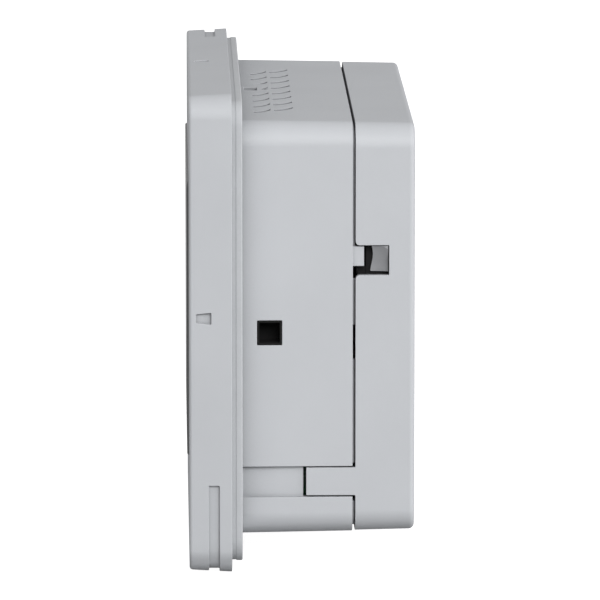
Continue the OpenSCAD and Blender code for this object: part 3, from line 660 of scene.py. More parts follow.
class GeometryTrees:
    """Geometry Nodes trees for what repeats, each built once."""

    _made: dict[str, bpy.types.NodeTree] = {}

    @classmethod
    def run(cls, name: str, **values: object) -> bpy.types.Object:
        """Runs a tree and keeps the result as a plain mesh.

        Args:
            name: The tree's name.
            **values: Its inputs by name, with spaces as underscores.

        Returns:
            The new object, in metres, with no modifier.
        """
        if name not in cls._made:
            cls._made[name] = getattr(cls, f"_{name}")()
        tree = cls._made[name]
        holder = bpy.data.objects.new(name, bpy.data.meshes.new(name))
        bpy.context.scene.collection.objects.link(holder)
        modifier = holder.modifiers.new(name, "NODES")
        modifier.node_group = tree
        known = {item.name: item.identifier for item in tree.interface.items_tree
                 if item.item_type == "SOCKET" and item.in_out == "INPUT"}
        for key, value in values.items():
            modifier[known[key.replace("_", " ")]] = value
        return bake(holder)

    @staticmethod
    def _grid_of_parts() -> bpy.types.NodeTree:
        """Builds the tree that repeats one part in columns and rows."""
        tree, w, given, out = new_tree(
            "grid_of_parts", "GeometryNodeTree",
            [Plug("Part", "NodeSocketObject"), Plug("Columns", "NodeSocketInt", 1),
             Plug("Rows", "NodeSocketInt", 1), Plug("Column Step", "NodeSocketVector"),
             Plug("Row Step", "NodeSocketVector"), Plug("Centre", "NodeSocketVector"),
             Plug("Finish", "NodeSocketMaterial")],
            [Plug("Geometry", "NodeSocketGeometry")])
        columns, rows = given.outputs["Columns"], given.outputs["Rows"]
        index = w.add("GeometryNodeInputIndex").outputs[0]
        column = w.math("MODULO", index, columns)
        row = w.math("FLOOR", w.math("DIVIDE", w.math("ADD", index, 0.5), columns))

        def offset(place: Socket, count: Socket, step: Socket) -> Socket:
            """Returns how far a column or row lies from the middle one."""
            half = w.math("DIVIDE", w.math("SUBTRACT", count, 1.0), 2.0)
            node = w.vector("SCALE", step)
            w.feed(node.inputs["Scale"], w.math("SUBTRACT", place, half))
            return node.outputs[0]

        across = offset(column, columns, given.outputs["Column Step"])
        along = offset(row, rows, given.outputs["Row Step"])
        place = w.vector("ADD", w.vector("ADD", across, along).outputs[0], given.outputs["Centre"])
        points = w.add("GeometryNodePoints")
        w.feed(points.inputs["Count"], w.math("MULTIPLY", columns, rows))
        w.feed(points.inputs["Position"], place.outputs[0])
        part = w.add("GeometryNodeObjectInfo")
        w.feed(part.inputs["Object"], given.outputs["Part"])
        copies = w.add("GeometryNodeInstanceOnPoints")
        w.feed(copies.inputs["Points"], points.outputs[0])
        w.feed(copies.inputs["Instance"], part.outputs["Geometry"])
        GeometryTrees._end(w, copies.outputs[0], given.outputs["Finish"], out)
        return tree

    @staticmethod
    def _slanted_slots() -> bpy.types.NodeTree:
        """Builds the tree that cuts a row of bent, undercut air slots, as solid tools."""
        tree, w, given, out = new_tree(
            "slanted_slots", "GeometryNodeTree",
            [Plug("Count", "NodeSocketInt", 8), Plug("Pitch"), Plug("Width"), Plug("Lean"),
             Plug("Undercut"), Plug("Front"), Plug("Back"), Plug("Low"), Plug("High"),
             Plug("Shift"), Plug("Finish", "NodeSocketMaterial")],
            [Plug("Geometry", "NodeSocketGeometry")])
        unit = w.add("GeometryNodeMeshCube")
        unit.inputs["Size"].default_value = (1.0, 1.0, 1.0)
        unit.inputs["Vertices Y"].default_value = 7
        parts = w.add("ShaderNodeSeparateXYZ")
        w.feed(parts.inputs[0], w.add("GeometryNodeInputPosition").outputs[0])

        def span(place: Socket, low: Socket, high: Socket) -> Socket:
            """Returns a place from -0.5..0.5 stretched to low..high."""
            share = w.math("ADD", place, 0.5)
            return w.math("ADD", low, w.math("MULTIPLY", share, w.math("SUBTRACT", high, low)))

        sheared = w.add("ShaderNodeCombineXYZ")
        across = w.math("MULTIPLY", w.math("ADD", parts.outputs["X"], 0.5), given.outputs["Width"])
        under = w.math("MULTIPLY", w.math("MULTIPLY", w.math("SUBTRACT", 0.5, parts.outputs["X"]),
                                          w.math("SUBTRACT", 0.5, parts.outputs["Z"])),
                       given.outputs["Undercut"])
        bend = w.math("POWER", w.math("ADD", parts.outputs["Y"], 0.5), 2.0)
        w.feed(sheared.inputs["X"], w.math("SUBTRACT", w.math("SUBTRACT", across, under),
                                           w.math("MULTIPLY", w.math("SUBTRACT", bend, 0.5),
                                                  given.outputs["Lean"])))
        w.feed(sheared.inputs["Y"], span(parts.outputs["Y"], given.outputs["Front"], given.outputs["Back"]))
        w.feed(sheared.inputs["Z"], span(parts.outputs["Z"], given.outputs["Low"], given.outputs["High"]))
        shaped = w.add("GeometryNodeSetPosition")
        w.feed(shaped.inputs["Geometry"], unit.outputs["Mesh"])
        w.feed(shaped.inputs["Position"], sheared.outputs[0])
        half = w.math("DIVIDE", w.math("SUBTRACT", given.outputs["Count"], 1.0), 2.0)
        place = w.add("ShaderNodeCombineXYZ")
        index = w.add("GeometryNodeInputIndex").outputs[0]
        w.feed(place.inputs["X"], w.math("ADD", given.outputs["Shift"],
                                         w.math("MULTIPLY", w.math("SUBTRACT", index, half),
                                                given.outputs["Pitch"])))
        points = w.add("GeometryNodePoints")
        w.feed(points.inputs["Count"], given.outputs["Count"])
        w.feed(points.inputs["Position"], place.outputs[0])
        copies = w.add("GeometryNodeInstanceOnPoints")
        w.feed(copies.inputs["Points"], points.outputs[0])
        w.feed(copies.inputs["Instance"], shaped.outputs[0])
        GeometryTrees._end(w, copies.outputs[0], given.outputs["Finish"], out)
        return tree

    @staticmethod
    def _end(w: Wiring, geometry: Socket, finish: Socket, out: bpy.types.Node) -> None:
        """Ends a tree in Realize Instances and Set Material."""
        real = w.add("GeometryNodeRealizeInstances")
        w.feed(real.inputs[0], geometry)
        dressed = w.add("GeometryNodeSetMaterial")
        w.feed(dressed.inputs["Geometry"], real.outputs[0])
        w.feed(dressed.inputs["Material"], finish)
        w.feed(out.inputs[0], dressed.outputs[0])


def bake(obj: bpy.types.Object) -> bpy.types.Object:
    """Turns an object's modifiers into its mesh.

    Args:
        obj: The object, linked to the scene.

    Returns:
        The same object, with a plain mesh and no modifier.
    """
    bpy.context.view_layer.update()
    evaluated = obj.evaluated_get(bpy.context.evaluated_depsgraph_get())
    plain = bpy.data.meshes.new_from_object(evaluated)
    obj.modifiers.clear()
    old, obj.data = obj.data, plain
    bpy.data.meshes.remove(old)
    return obj


# ---- solids ----


@dataclass(frozen=True)
class Outline:
    """Rounded rectangle across the depth axis."""

    width: float
    height: float
    radius: float
    middle: float = 0.0

    @classmethod
    def of(cls, node: str, radius: float) -> "Outline":
        """Returns the outline of a CAD node's box.

        Args:
            node: The CAD node.
            radius: The corner radius.

        Returns:
            Its outline, as tall and wide as the box.
        """
        low, high = box_mm(node)
        return cls(high.x - low.x, high.z - low.z, radius, (high.z + low.z) / 2)

    def points(self, inset: float = 0.0) -> list[Flat]:
        """Returns the outline's points, drawn in by an inset."""
        made = []
        radius = self.radius - inset
        reach_x = self.width / 2 - self.radius
        reach_z = self.height / 2 - self.radius
        for corner, (sx, sz) in enumerate(((1, 1), (-1, 1), (-1, -1), (1, -1))):
            for step in range(CORNER_STEPS + 1):
                angle = math.radians(90 * (corner + step / CORNER_STEPS))
                made.append((sx * reach_x + radius * math.cos(angle),
                             self.middle + sz * reach_z + radius * math.sin(angle)))
        return made


def box_mm(node: str) -> tuple[Vector, Vector]:
    """Returns the lowest and highest corner of a CAD node, in millimetres."""
    low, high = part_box(node)
    return low / MM, high / MM


class Solid:
    """A closed solid that is cut and joined, then finished as a piece."""

    def __init__(self, obj: bpy.types.Object) -> None:
        """Wraps an object whose mesh is in metres."""
        self.obj = obj

    @classmethod
    def from_rings(cls, rings: Sequence[Sequence[Point]]) -> "Solid":
        """Makes a solid from rings of points, closed at both ends.

        Args:
            rings: Rings with the same number of points, in millimetres.

        Returns:
            The new solid, with its faces outwards.
        """
        bm = bmesh.new()
        rows = [[bm.verts.new([c * MM for c in p]) for p in ring] for ring in rings]
        count = len(rows[0])
        for near, far in zip(rows, rows[1:]):
            for k in range(count):
                bm.faces.new((near[k], near[(k + 1) % count], far[(k + 1) % count], far[k]))
        bm.faces.new(rows[0])
        bm.faces.new(rows[-1])
        bmesh.ops.recalc_face_normals(bm, faces=bm.faces)
        mesh = bpy.data.meshes.new("solid")
        bm.to_mesh(mesh)
        bm.free()
        obj = bpy.data.objects.new("solid", mesh)
        bpy.context.scene.collection.objects.link(obj)
        return cls(obj)

    @classmethod
    def loft(cls, outline: Outline, stations: Sequence[Station]) -> "Solid":
        """Makes a block through stations of depth and inset."""
        return cls.from_rings([[(x, y, z) for x, z in outline.points(inset)]
                               for y, inset in stations])

    @classmethod
    def slab(cls, outline: Outline, front: float, back: float) -> "Solid":
        """Makes a straight plate of an outline between two depths."""
        return cls.loft(outline, [(front, 0.0), (back, 0.0)])

    @classmethod
    def prism(cls, profile: Sequence[Flat], axis: Axis, start: float, end: float) -> "Solid":
        """Draws a profile out along an axis.

        Args:
            profile: Points on the other two axes, in the order X, Y, Z.
            axis: The axis to draw along.
            start: Where it starts.
            end: Where it ends.

        Returns:
            The new solid.
        """
        def at(point: Flat, depth: float) -> Point:
            """Returns the profile's point at a depth."""
            coordinates = list(point)
            coordinates.insert(axis.value, depth)
            return tuple(coordinates)
        return cls.from_rings([[at(p, d) for p in profile] for d in (start, end)])

    @classmethod
    def box(cls, low: Point, high: Point) -> "Solid":
        """Makes a box from its lowest and highest corners."""
        (x0, y0, z0), (x1, y1, z1) = low, high
        return cls.prism([(x0, z0), (x1, z0), (x1, z1), (x0, z1)], Axis.Y, y0, y1)

    @classmethod
    def rod(cls, axis: Axis, middle: Flat, radius: float, start: float, end: float,
            steps: int = ROUND_STEPS) -> "Solid":
        """Makes a round bar along an axis."""
        turns = [2 * math.pi * k / steps for k in range(steps)]
        circle = [(middle[0] + radius * math.cos(t), middle[1] + radius * math.sin(t))
                  for t in turns]
        return cls.prism(circle, axis, start, end)

    @classmethod
    def lathe(cls, profile: Sequence[Flat], steps: int = ROUND_STEPS) -> "Solid":
        """Turns a profile of depth and radius about the Y axis through the origin."""
        turns = [2 * math.pi * k / steps for k in range(steps)]
        return cls.from_rings([[(r * math.cos(t), y, r * math.sin(t)) for t in turns]
                               for y, r in profile])

    def _combine(self, tools: Sequence["Solid"], operation: str) -> "Solid":
        """Joins or cuts with tools that don't overlap each other, and uses them up."""
        bm = bmesh.new()
        for tool in tools:
            bm.from_mesh(tool.obj.data)
            tool.discard()
        mesh = bpy.data.meshes.new("tools")
        bm.to_mesh(mesh)
        bm.free()
        together = bpy.data.objects.new("tools", mesh)
        bpy.context.scene.collection.objects.link(together)
        modifier = self.obj.modifiers.new("combine", "BOOLEAN")
        modifier.object = together
        modifier.operation = operation
        modifier.solver = "EXACT"
        bake(self.obj)
        Solid(together).discard()
        return self

    def cut(self, *tools: "Solid") -> "Solid":
        """Cuts away tools that lie apart, and returns the solid."""
        return self._combine(tools, "DIFFERENCE")

    def join(self, *tools: "Solid") -> "Solid":
        """Joins on tools that lie apart, and returns the solid."""
        return self._combine(tools, "UNION")

    def keep(self, tool: "Solid") -> "Solid":
        """Keeps only what lies inside the tool, and returns the solid."""
        return self._combine([tool], "INTERSECT")

    def moved(self, offset: Point) -> "Solid":
        """Shifts the solid's points, and returns the solid."""
        for vertex in self.obj.data.vertices:
            vertex.co += Vector(offset) * MM
        return self

    def turned(self, axis: Axis, degrees: float) -> "Solid":
        """Turns the solid's points about an axis through the origin."""
        a, b = [k for k in range(3) if k != axis.value]
        c, s = math.cos(math.radians(degrees)), math.sin(math.radians(degrees))
        for vertex in self.obj.data.vertices:
            p, q = vertex.co[a], vertex.co[b]
            vertex.co[a], vertex.co[b] = c * p - s * q, s * p + c * q
        return self

    def mirrored(self, axis: Axis = Axis.X) -> "Solid":
        """Mirrors the solid across the origin on one axis, faces kept outwards."""
        for vertex in self.obj.data.vertices:
            vertex.co[axis.value] = -vertex.co[axis.value]
        self.obj.data.flip_normals()
        return self

    def on(self, side: Side) -> "Solid":
        """Mirrors a solid drawn for the right side where the left is wanted."""
        return self.mirrored() if side is Side.LEFT else self

    def discard(self) -> None:
        """Removes the solid."""
        mesh = self.obj.data
        bpy.data.objects.remove(self.obj)
        bpy.data.meshes.remove(mesh)

    def _clean(self) -> None:
        """Merges points that meet, drops lines across flat faces and splits wide faces."""
        bm = bmesh.new()
        bm.from_mesh(self.obj.data)
        bmesh.ops.remove_doubles(bm, verts=bm.verts, dist=MERGE)
        bmesh.ops.dissolve_degenerate(bm, edges=bm.edges, dist=MERGE)
        bmesh.ops.dissolve_limit(bm, angle_limit=math.radians(FLAT_ANGLE), verts=bm.verts, edges=bm.edges)
        bmesh.ops.triangulate(bm, faces=[face for face in bm.faces if len(face.verts) > 4])
        bm.to_mesh(self.obj.data)
        bm.free()

    def soften(self, width: float, segments: int = 2, angle: float = 38.0) -> "Solid":
        """Cleans the mesh, rounds its sharp edges and evens its normals.

        Args:
            width: Width of the rounding.
            segments: Faces across it.
            angle: Edges sharper than this many degrees are rounded.

        Returns:
            The solid.
        """
        self._clean()
        self.obj.data.shade_smooth()
        rounding = self.obj.modifiers.new("rounding", "BEVEL")
        rounding.width = width * MM
        rounding.segments = segments
        rounding.limit_method = "ANGLE"
        rounding.angle_limit = math.radians(angle)
        rounding.use_clamp_overlap = False
        rounding.loop_slide = False
        rounding.miter_outer = "MITER_ARC"
        bake(self.obj)
        self._even_normals()
        return self

    def _even_normals(self) -> None:
        """Gives every point the normal of the widest flat region that meets there."""
        bm = bmesh.new()
        bm.from_mesh(self.obj.data)
        bm.faces.ensure_lookup_table()
        bm.normal_update()
        region: dict[int, int] = {}
        areas: list[float] = []
        for seed in bm.faces:
            if seed.index in region:
                continue
            region[seed.index] = len(areas)
            waiting, total = [seed], 0.0
            while waiting:
                face = waiting.pop()
                total += face.calc_area()
                for other in (near for edge in face.edges for near in edge.link_faces):
                    if other.index not in region and other.normal.dot(seed.normal) > SAME_PLANE:
                        region[other.index] = len(areas)
                        waiting.append(other)
            areas.append(total / MM ** 2)
        normals = [sum((face.normal * areas[region[face.index]] ** 2 for face in vertex.link_faces),
                       Vector()).normalized() for vertex in bm.verts]
        bm.free()
        self.obj.data.normals_split_custom_set_from_vertices(normals)

    def publish(self, name: str, body: Body, slot: Slot, finish: Finish, *nodes: str) -> None:
        """Dresses the solid, names it, hangs it on its body and hides the CAD nodes that it stands for.

        Args:
            name: The piece's name.
            body: The body that it rides on.
            slot: The record's slot for its finish; not used.
            finish: Its finish.
            *nodes: The CAD nodes that it stands for.
        """
        mesh = self.obj.data
        mesh.materials.clear()
        mesh.materials.append(finish.material())
        self.obj.name = mesh.name = name
        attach(self.obj, body.value)
        if nodes:
            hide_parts(*nodes)
        LOG.info("%s rides on %s, %d faces", name, body.value, len(mesh.polygons))


def grid(part: Solid, finish: Finish, centre: Point, columns: int, column_step: Point,
         rows: int = 1, row_step: Point = (0.0, 0.0, 0.0)) -> Solid:
    """Repeats a part in columns and rows, as one mesh.

    Args:
        part: The part, drawn about the origin. It is used up.
        finish: Its finish.
        centre: Middle of the grid.
        columns: Number of columns.
        column_step: From one column to the next.
        rows: Number of rows.
        row_step: From one row to the next.

    Returns:
        The repeated parts.
    """
    metres = [tuple(c * MM for c in v) for v in (centre, column_step, row_step)]
    made = GeometryTrees.run("grid_of_parts", Part=part.obj, Columns=columns, Rows=rows,
                             Centre=metres[0], Column_Step=metres[1], Row_Step=metres[2],
                             Finish=finish.material())
    part.discard()
    return Solid(made)


def arc(start: float, end: float, steps: int) -> list[float]:
    """Returns angles from start to end degrees, in radians."""
    return [math.radians(start + (end - start) * k / steps) for k in range(steps + 1)]


# ---- sub-assemblies ----


@dataclass
class Fixings:
    """Places and holes of the screws, shared by the parts that they go through."""

    case: Flat = (70.2, 52.0)
    frame: Flat = (70.2, 30.0)
    board: Flat = (60.0, 44.0)
    module: Flat = (66.0, 50.0)
    module_board_x: float = 58.0
    module_board_z: Flat = (-20.0, 36.0)
    boss: float = 3.0
    post: float = 2.6
    pilot: float = 1.25
    case_pilot: float = 1.55
    case_clear: float = 1.7
    module_clear: float = 1.6
    head_clear: float = 3.0

    @staticmethod
    def four(place: Flat, middle: float = 0.0) -> list[Flat]:
        """Returns the four mirrored places of one screw, about a height."""
        return [(sx * place[0], middle + sz * place[1]) for sx in (-1, 1) for sz in (-1, 1)]

    def module_board(self) -> list[Flat]:
        """Returns the four places of the module board's screws."""
        return [(sx * self.module_board_x, z) for sx in (-1, 1) for z in self.module_board_z]


def rods(places: Sequence[Flat], radius: float, start: float, end: float) -> list[Solid]:
    """Returns round bars along Y, one at each place."""
    return [Solid.rod(Axis.Y, at, radius, start, end) for at in places]


@dataclass
class DisplayFront:
    """Bezel, touch glass and panel seal."""

    fixings: Fixings
    corner: float = 7.0
    edge: float = 0.9
    draft: float = 0.6
    wall: float = 2.3
    plate: float = 3.0
    glass_radius: float = 2.0
    glass_gap: float = 0.2
    glass_sink: float = 0.35
    window: Flat = (125.8, 72.5)
    groove: Station = (-9.6, -6.6)
    groove_depth: float = 1.05
    groove_reach: float = 25.8
    notch: tuple[Flat, ...] = ((-13.1, -1.2), (-8.9, -1.65), (-8.9, 1.65), (-13.1, 1.2))
    notch_lift: float = 5.2
    notch_depth: float = 1.0
    seal_step: float = 0.2
    seal_lip: float = 1.9

    def build(self) -> None:
        """Builds the three pieces."""
        self._bezel()
        self._glass()
        self._seal()

    def _bezel(self) -> None:
        """Builds the bezel: a drafted frame with its pocket, grooves and notches."""
        low, high = box_mm("front_bezel")
        outline = Outline.of("front_bezel", self.corner)
        front, rear, middle = low.y, high.y, outline.middle
        side_end = front + self.edge
        frame_front = box_mm("display_frame")[0].y
        flange_front = box_mm("body_shell")[0].y
        bezel = Solid.loft(outline, [(rear, 0.0)] + [
            (side_end - self.edge * math.sin(a), self.draft + self.edge * (1 - math.cos(a)))
            for a in arc(0, 90, 6)])
        plate_back = front + self.plate
        inner = Outline(outline.width - 2 * self.wall, outline.height - 2 * self.wall,
                        self.corner - self.wall, middle)
        bezel.cut(Solid.slab(inner, plate_back, rear + 1))
        glass = Outline.of("touch_glass", self.glass_radius + self.glass_gap)
        case = Fixings.four(self.fixings.case)
        holder = Fixings.four(self.fixings.frame, glass.middle)
        bezel.join(*rods(case, self.fixings.boss, plate_back - EPS, flange_front - 0.1),
                   *rods(holder, self.fixings.post, plate_back - EPS, frame_front))
        bezel.cut(*rods(case, self.fixings.case_pilot, plate_back + 0.4, rear),
                  *rods(holder, self.fixings.pilot, plate_back + 0.4, rear))
        pocket = Outline(glass.width + 2 * self.glass_gap, glass.height + 2 * self.glass_gap,
                         glass.radius, glass.middle)
        bezel.cut(Solid.slab(pocket, front - 1, box_mm("touch_glass")[1].y))
        bezel.cut(Solid.slab(Outline(*self.window, 1.0, glass.middle), front, plate_back + 1))
        bezel.cut(*(self._groove(outline, turn) for turn in (0, 180)))
        bezel.cut(*self._notches(outline))
        lens_low, lens_high = box_mm("status_lens")
        bezel.cut(Solid.box((lens_low.x + 0.9, front - 1, (lens_low.z + lens_high.z) / 2 - 0.85),
                            (lens_high.x - 0.9, plate_back + 1, (lens_low.z + lens_high.z) / 2 + 0.85)))
        bezel.soften(0.22, 3).publish("bezel", Body.DISPLAY, Slot.HOUSING, Finishes.housing, "front_bezel")

    def _groove(self, outline: Outline, turn: float) -> Solid:
        """Returns the tool for the groove round one lower right corner, or its opposite."""
        drop = self.groove_depth
        start, end = self.groove
        around = Outline(outline.width + 4, outline.height + 4, self.corner + 2)
        core = Outline(outline.width - 2 * drop, outline.height - 2 * drop, self.corner - drop)
        tool = Solid.slab(around, start, end)
        tool.cut(Solid.slab(core, start - 1, end + 1))
        reach = self.groove_reach
        tool.keep(Solid.box((outline.width / 2 - reach, start - 2, -outline.height / 2 - 3),
                            (outline.width / 2 + 3, end + 2, -outline.height / 2 + reach)))
        return tool.turned(Axis.Y, turn).moved((0, 0, outline.middle))

    def _notches(self, outline: Outline) -> list[Solid]:
        """Returns the tools for the shallow pry notches in the four edges."""
        def notch(reach: float, turn: float, lift: float) -> Solid:
            """Returns one notch at a reach from the middle."""
            tool = Solid.prism(self.notch, Axis.X, reach - self.notch_depth, reach + 1)
            return tool.moved((0, 0, lift)).turned(Axis.Y, turn).moved((0, 0, outline.middle))
        reach_x, reach_z = outline.width / 2 - 0.3, outline.height / 2 - 0.3
        return [notch(reach_x, 0, self.notch_lift), notch(reach_x, 180, self.notch_lift),
                notch(reach_z, 90, 0), notch(reach_z, 270, 0)]

    def _glass(self) -> None:
        """Builds the touch glass with ground edges."""
        low, high = box_mm("touch_glass")
        front = low.y + self.glass_sink
        glass = Solid.loft(Outline.of("touch_glass", self.glass_radius), [
            (front, 0.4), (front + 0.1, 0.15), (front + 0.28, 0.04), (front + 0.5, 0.0),
            (high.y - 0.15, 0.0), (high.y, 0.15)])
        glass.soften(0.05, 1, 50).publish("glass", Body.DISPLAY, Slot.GLASS, Finishes.glass, "touch_glass")

    def _seal(self) -> None:
        """Builds the panel seal: a neck behind the bezel and a wider, rounded lip."""
        low, high = box_mm("panel_gasket")
        lip = high.y - self.seal_lip
        step = self.seal_step
        seal = Solid.loft(Outline.of("panel_gasket", self.corner), [
            (low.y, step), (lip, step), (lip + 0.15, 0.05), (lip + 0.35, 0.0),
            (high.y - 0.35, 0.0), (high.y - 0.12, 0.08), (high.y, 0.3)])
        opening = Outline(CaseBody.width + 1, CaseBody.height + 1, self.corner + 0.5)
        seal.cut(Solid.slab(opening, low.y - 1, high.y + 1))
        seal.soften(0.12, 2).publish("panel_seal", Body.DISPLAY, Slot.SEAL, Finishes.seal, "panel_gasket")


@dataclass
class CaseBody:
    """Body shell behind the panel, with its clamp sockets and case screws."""

    fixings: Fixings
    width: float = 153.0
    height: float = 118.8
    corner: float = 7.0
    depth: float = 31.3
    wall: float = 2.6
    draft: float = 0.5
    flange: float = 2.0
    flange_corner: float = 4.7
    channel: Flat = (-48.0, -39.2)
    channel_depth: float = 1.1
    pocket_front: float = 17.3
    pocket_floor: float = 73.4
    rib: float = 0.6
    rib_inset: float = 1.6
    socket: Flat = (7.7, -0.7)
    socket_side: float = 7.0
    slot: tuple[float, float, float] = (7.0, 3.7, 3.25)
    slot_sink: float = 1.4
    peg_hole: Flat = (7.6, 0.9)
    slot_rows: tuple[Station, Station] = ((3.6, 8.4), (9.4, 14.9))
    slot_clear: Flat = (11.0, 6.6)
    slot_shift: float = 5.0
    slot_count: int = 8
    slot_pitch: float = 12.6
    slot_lean: float = 6.5
    slot_width: float = 2.2
    slot_undercut: float = 4.0
    link: Flat = (46.0, 13.0)
    board_boss: float = 2.8
    head_boss: float = 4.0
    rib_width: float = 2.0
    rib_openings: tuple[Flat, ...] = ((-3.7, 9.8), (-44.0, 11.0), (19.2, 9.4))
    lug: tuple[float, float, float] = (34.5, 18.2, 23.9)
    cup_wall: float = 0.6
    cup_depth: float = 7.5
    cup_lip: float = 1.2
    cup_clear: float = 0.05

    def build(self) -> None:
        """Builds the shell, the four clamp sockets and the case screws."""
        self._shell()
        for side, node in ((Side.RIGHT, "clamp_socket_right"), (Side.LEFT, "clamp_socket_left")):
            self._side_cup(side, node)
        for turn, node in ((0, "clamp_socket_top"), (180, "clamp_socket_bottom")):
            self._edge_cup(turn, node)
        self._screws()

    def _shell(self) -> None:
        """Builds the body shell."""
        wall_front = self.depth - self.wall
        flange_front = box_mm("body_shell")[0].y
        shell = Solid.loft(Outline(self.width, self.height, self.corner),
                           [(flange_front, 0.0), (0.0, 0.0), (self.depth, self.draft)])
        shell.join(Solid.slab(Outline.of("body_shell", self.flange_corner), flange_front,
                              flange_front + self.flange))
        inner = Outline(self.width - 2 * self.wall, self.height - 2 * self.wall, self.corner - self.wall)
        shell.cut(Solid.loft(inner, [(flange_front - 1, 0.0), (0.0, 0.0), (wall_front, self.draft)]))
        case, board = Fixings.four(self.fixings.case), Fixings.four(self.fixings.board)
        board_back = box_mm("main_board")[1].y
        shell.join(*rods(case, self.fixings.boss, flange_front + EPS, wall_front + EPS),
                   *rods(board, self.board_boss, board_back, wall_front + EPS))
        shell.join(*rods(case, self.head_boss, self.depth - 8, self.depth - EPS))
        shell.join(self._rib())
        shell.join(*(self._lug(side) for side in Side))
        for side in Side:
            self._cut_side(shell, side)
        for mirror in (False, True):
            self._cut_edge(shell, mirror)
        (near, middle), (far, back) = self.slot_rows
        clear_x, clear_y = self.slot_clear
        shell.cut(self._air_slots(near, middle, self.slot_shift).cut(
            Solid.box((-clear_x, near - 1, self.height / 4), (clear_x, clear_y, self.height))))
        shell.cut(self._air_slots(far, back, 0.0))
        shell.cut(*rods(case, self.fixings.case_clear, flange_front - 1, self.depth + 1),
                  *rods(board, self.fixings.pilot, board_back - 1, board_back + 7))
        shell.cut(*rods(case, self.fixings.head_clear, self.depth - 4, self.depth + 2),
                  Solid.slab(Outline(*self.link, 2.0), wall_front - 1, self.depth + 1))
        shell.soften(0.2, 2).publish("case_body", Body.DISPLAY, Slot.HOUSING, Finishes.housing,
                                     "body_shell")

    def _rib(self) -> Solid:
        """Returns the raised rib behind the seam, open where the module's parts pass."""
        width, height = RearModule.width, RearModule.height
        outer = Outline(width - 2 * self.rib_inset, height - 2 * self.rib_inset,
                        self.corner - self.rib_inset)
        thick = self.rib_width
        inner = Outline(outer.width - 2 * thick, outer.height - 2 * thick, outer.radius - thick)
        rib = Solid.slab(outer, self.depth - EPS, self.depth + self.rib)
        rib.cut(Solid.slab(inner, self.depth - 1, self.depth + 2))
        for middle, span in self.rib_openings:
            rib.cut(*(Solid.box((side.value * width / 2 - 6, self.depth - 0.5, middle - span / 2),
                                (side.value * width / 2 + 6, self.depth + 2.5, middle + span / 2))
                      for side in Side))
        return rib

    def _lug(self, side: Side) -> Solid:
        """Returns the lug at the seam that a latch holds."""
        reach = RearModule.width / 2
        end, low, high = self.lug
        return Solid.box((reach - 4.2, self.depth - 1, low), (reach - 0.7, end, high + EPS)).on(side)

    def _cut_side(self, shell: Solid, side: Side) -> None:
        """Cuts the channel, its tab pocket and the clamp opening into one side."""
        face = self.width / 2
        low, high = self.channel
        y, z = self.socket
        half = self.socket_side / 2 + self.cup_clear
        shell.cut(Solid.box((face - self.channel_depth - self.draft / 2, 0, low),
                            (face + 1, self.depth + 1, high)).on(side))
        shell.cut(Solid.box((self.pocket_floor, self.pocket_front, low),
                            (face + 1, self.depth + 1, high)).on(side))
        shell.cut(Solid.box((face - 6, y - half, z - half), (face + 6, y + half, z + half)).on(side))

    def _cut_edge(self, shell: Solid, below: bool) -> None:
        """Cuts the flat clamp slot and the peg hole into the top or the bottom."""
        width, deep, y = self.slot
        peg_y, peg_r = self.peg_hole
        edge = self.height / 2
        half_x, half_y = width / 2 + self.cup_clear, deep / 2 + self.cup_clear
        tools = [Solid.box((-half_x, y - half_y, edge - 6), (half_x, y + half_y, edge + 6)),
                 Solid.rod(Axis.Z, (0.0, peg_y), peg_r, edge - 4, edge + 2, 24)]
        shell.cut(*(tool.mirrored(Axis.Z) if below else tool for tool in tools))

    def _air_slots(self, front: float, back: float, shift: float) -> Solid:
        """Returns the tool for one row of bent air slots in the top."""
        top = self.height / 2
        return Solid(GeometryTrees.run(
            "slanted_slots", Count=self.slot_count, Pitch=self.slot_pitch * MM,
            Width=self.slot_width * MM, Lean=self.slot_lean * MM, Undercut=self.slot_undercut * MM,
            Front=front * MM, Back=back * MM, Low=(top - self.wall - 2) * MM, High=(top + 0.2) * MM,
            Shift=shift * MM,
            Finish=Finishes.housing.material()))

    def _side_cup(self, side: Side, node: str) -> None:
        """Builds the square cup that takes a clamp's hook, black to stand in for the shade deep in the
        socket.
        """
        y, z = self.socket
        half = self.socket_side / 2
        mouth = max(abs(c) for c in (box_mm(node)[0].x, box_mm(node)[1].x))
        floor = mouth - self.cup_depth
        cup = Solid.box((floor, y - half, z - half), (mouth, y + half, z + half))
        back = self.width / 2 - self.wall - 0.7
        wide = half + 1.5
        cup.join(Solid.box((back - self.cup_lip, y - wide, z - wide), (back, y + wide, z + wide)))
        hollow = half - self.cup_wall
        cup.cut(Solid.box((floor + 1, y - hollow, z - hollow), (mouth + 1, y + hollow, z + hollow)))
        cup.on(side).soften(0.1, 2).publish(f"clamp_cup_{side.name.lower()}", Body.DISPLAY, Slot.BLACK,
                                            Finishes.black_for_shade, node)

    def _edge_cup(self, turn: int, node: str) -> None:
        """Builds the flat cup behind a clamp slot, black to stand in for the shade deep in the slot."""
        width, deep, y = self.slot
        mouth = max(abs(c) for c in (box_mm(node)[0].z, box_mm(node)[1].z)) - self.slot_sink
        floor = mouth - self.cup_depth
        half_x, half_y = width / 2, deep / 2
        cup = Solid.box((-half_x, y - half_y, floor), (half_x, y + half_y, mouth))
        back = self.height / 2 - self.wall - 0.7
        wide_x, wide_y = half_x + 1.5, half_y + 1.2
        cup.join(Solid.box((-wide_x, y - wide_y, back - self.cup_lip), (wide_x, y + wide_y, back)))
        hollow_x, hollow_y = half_x - self.cup_wall, half_y - self.cup_wall
        cup.cut(Solid.box((-hollow_x, y - hollow_y, floor + 1), (hollow_x, y + hollow_y, mouth + 1)))
        name = "clamp_cup_bottom" if turn else "clamp_cup_top"
        cup.turned(Axis.Y, turn).soften(0.1, 2).publish(name, Body.DISPLAY, Slot.BLACK, Finishes.black_for_shade,
                                                        node)

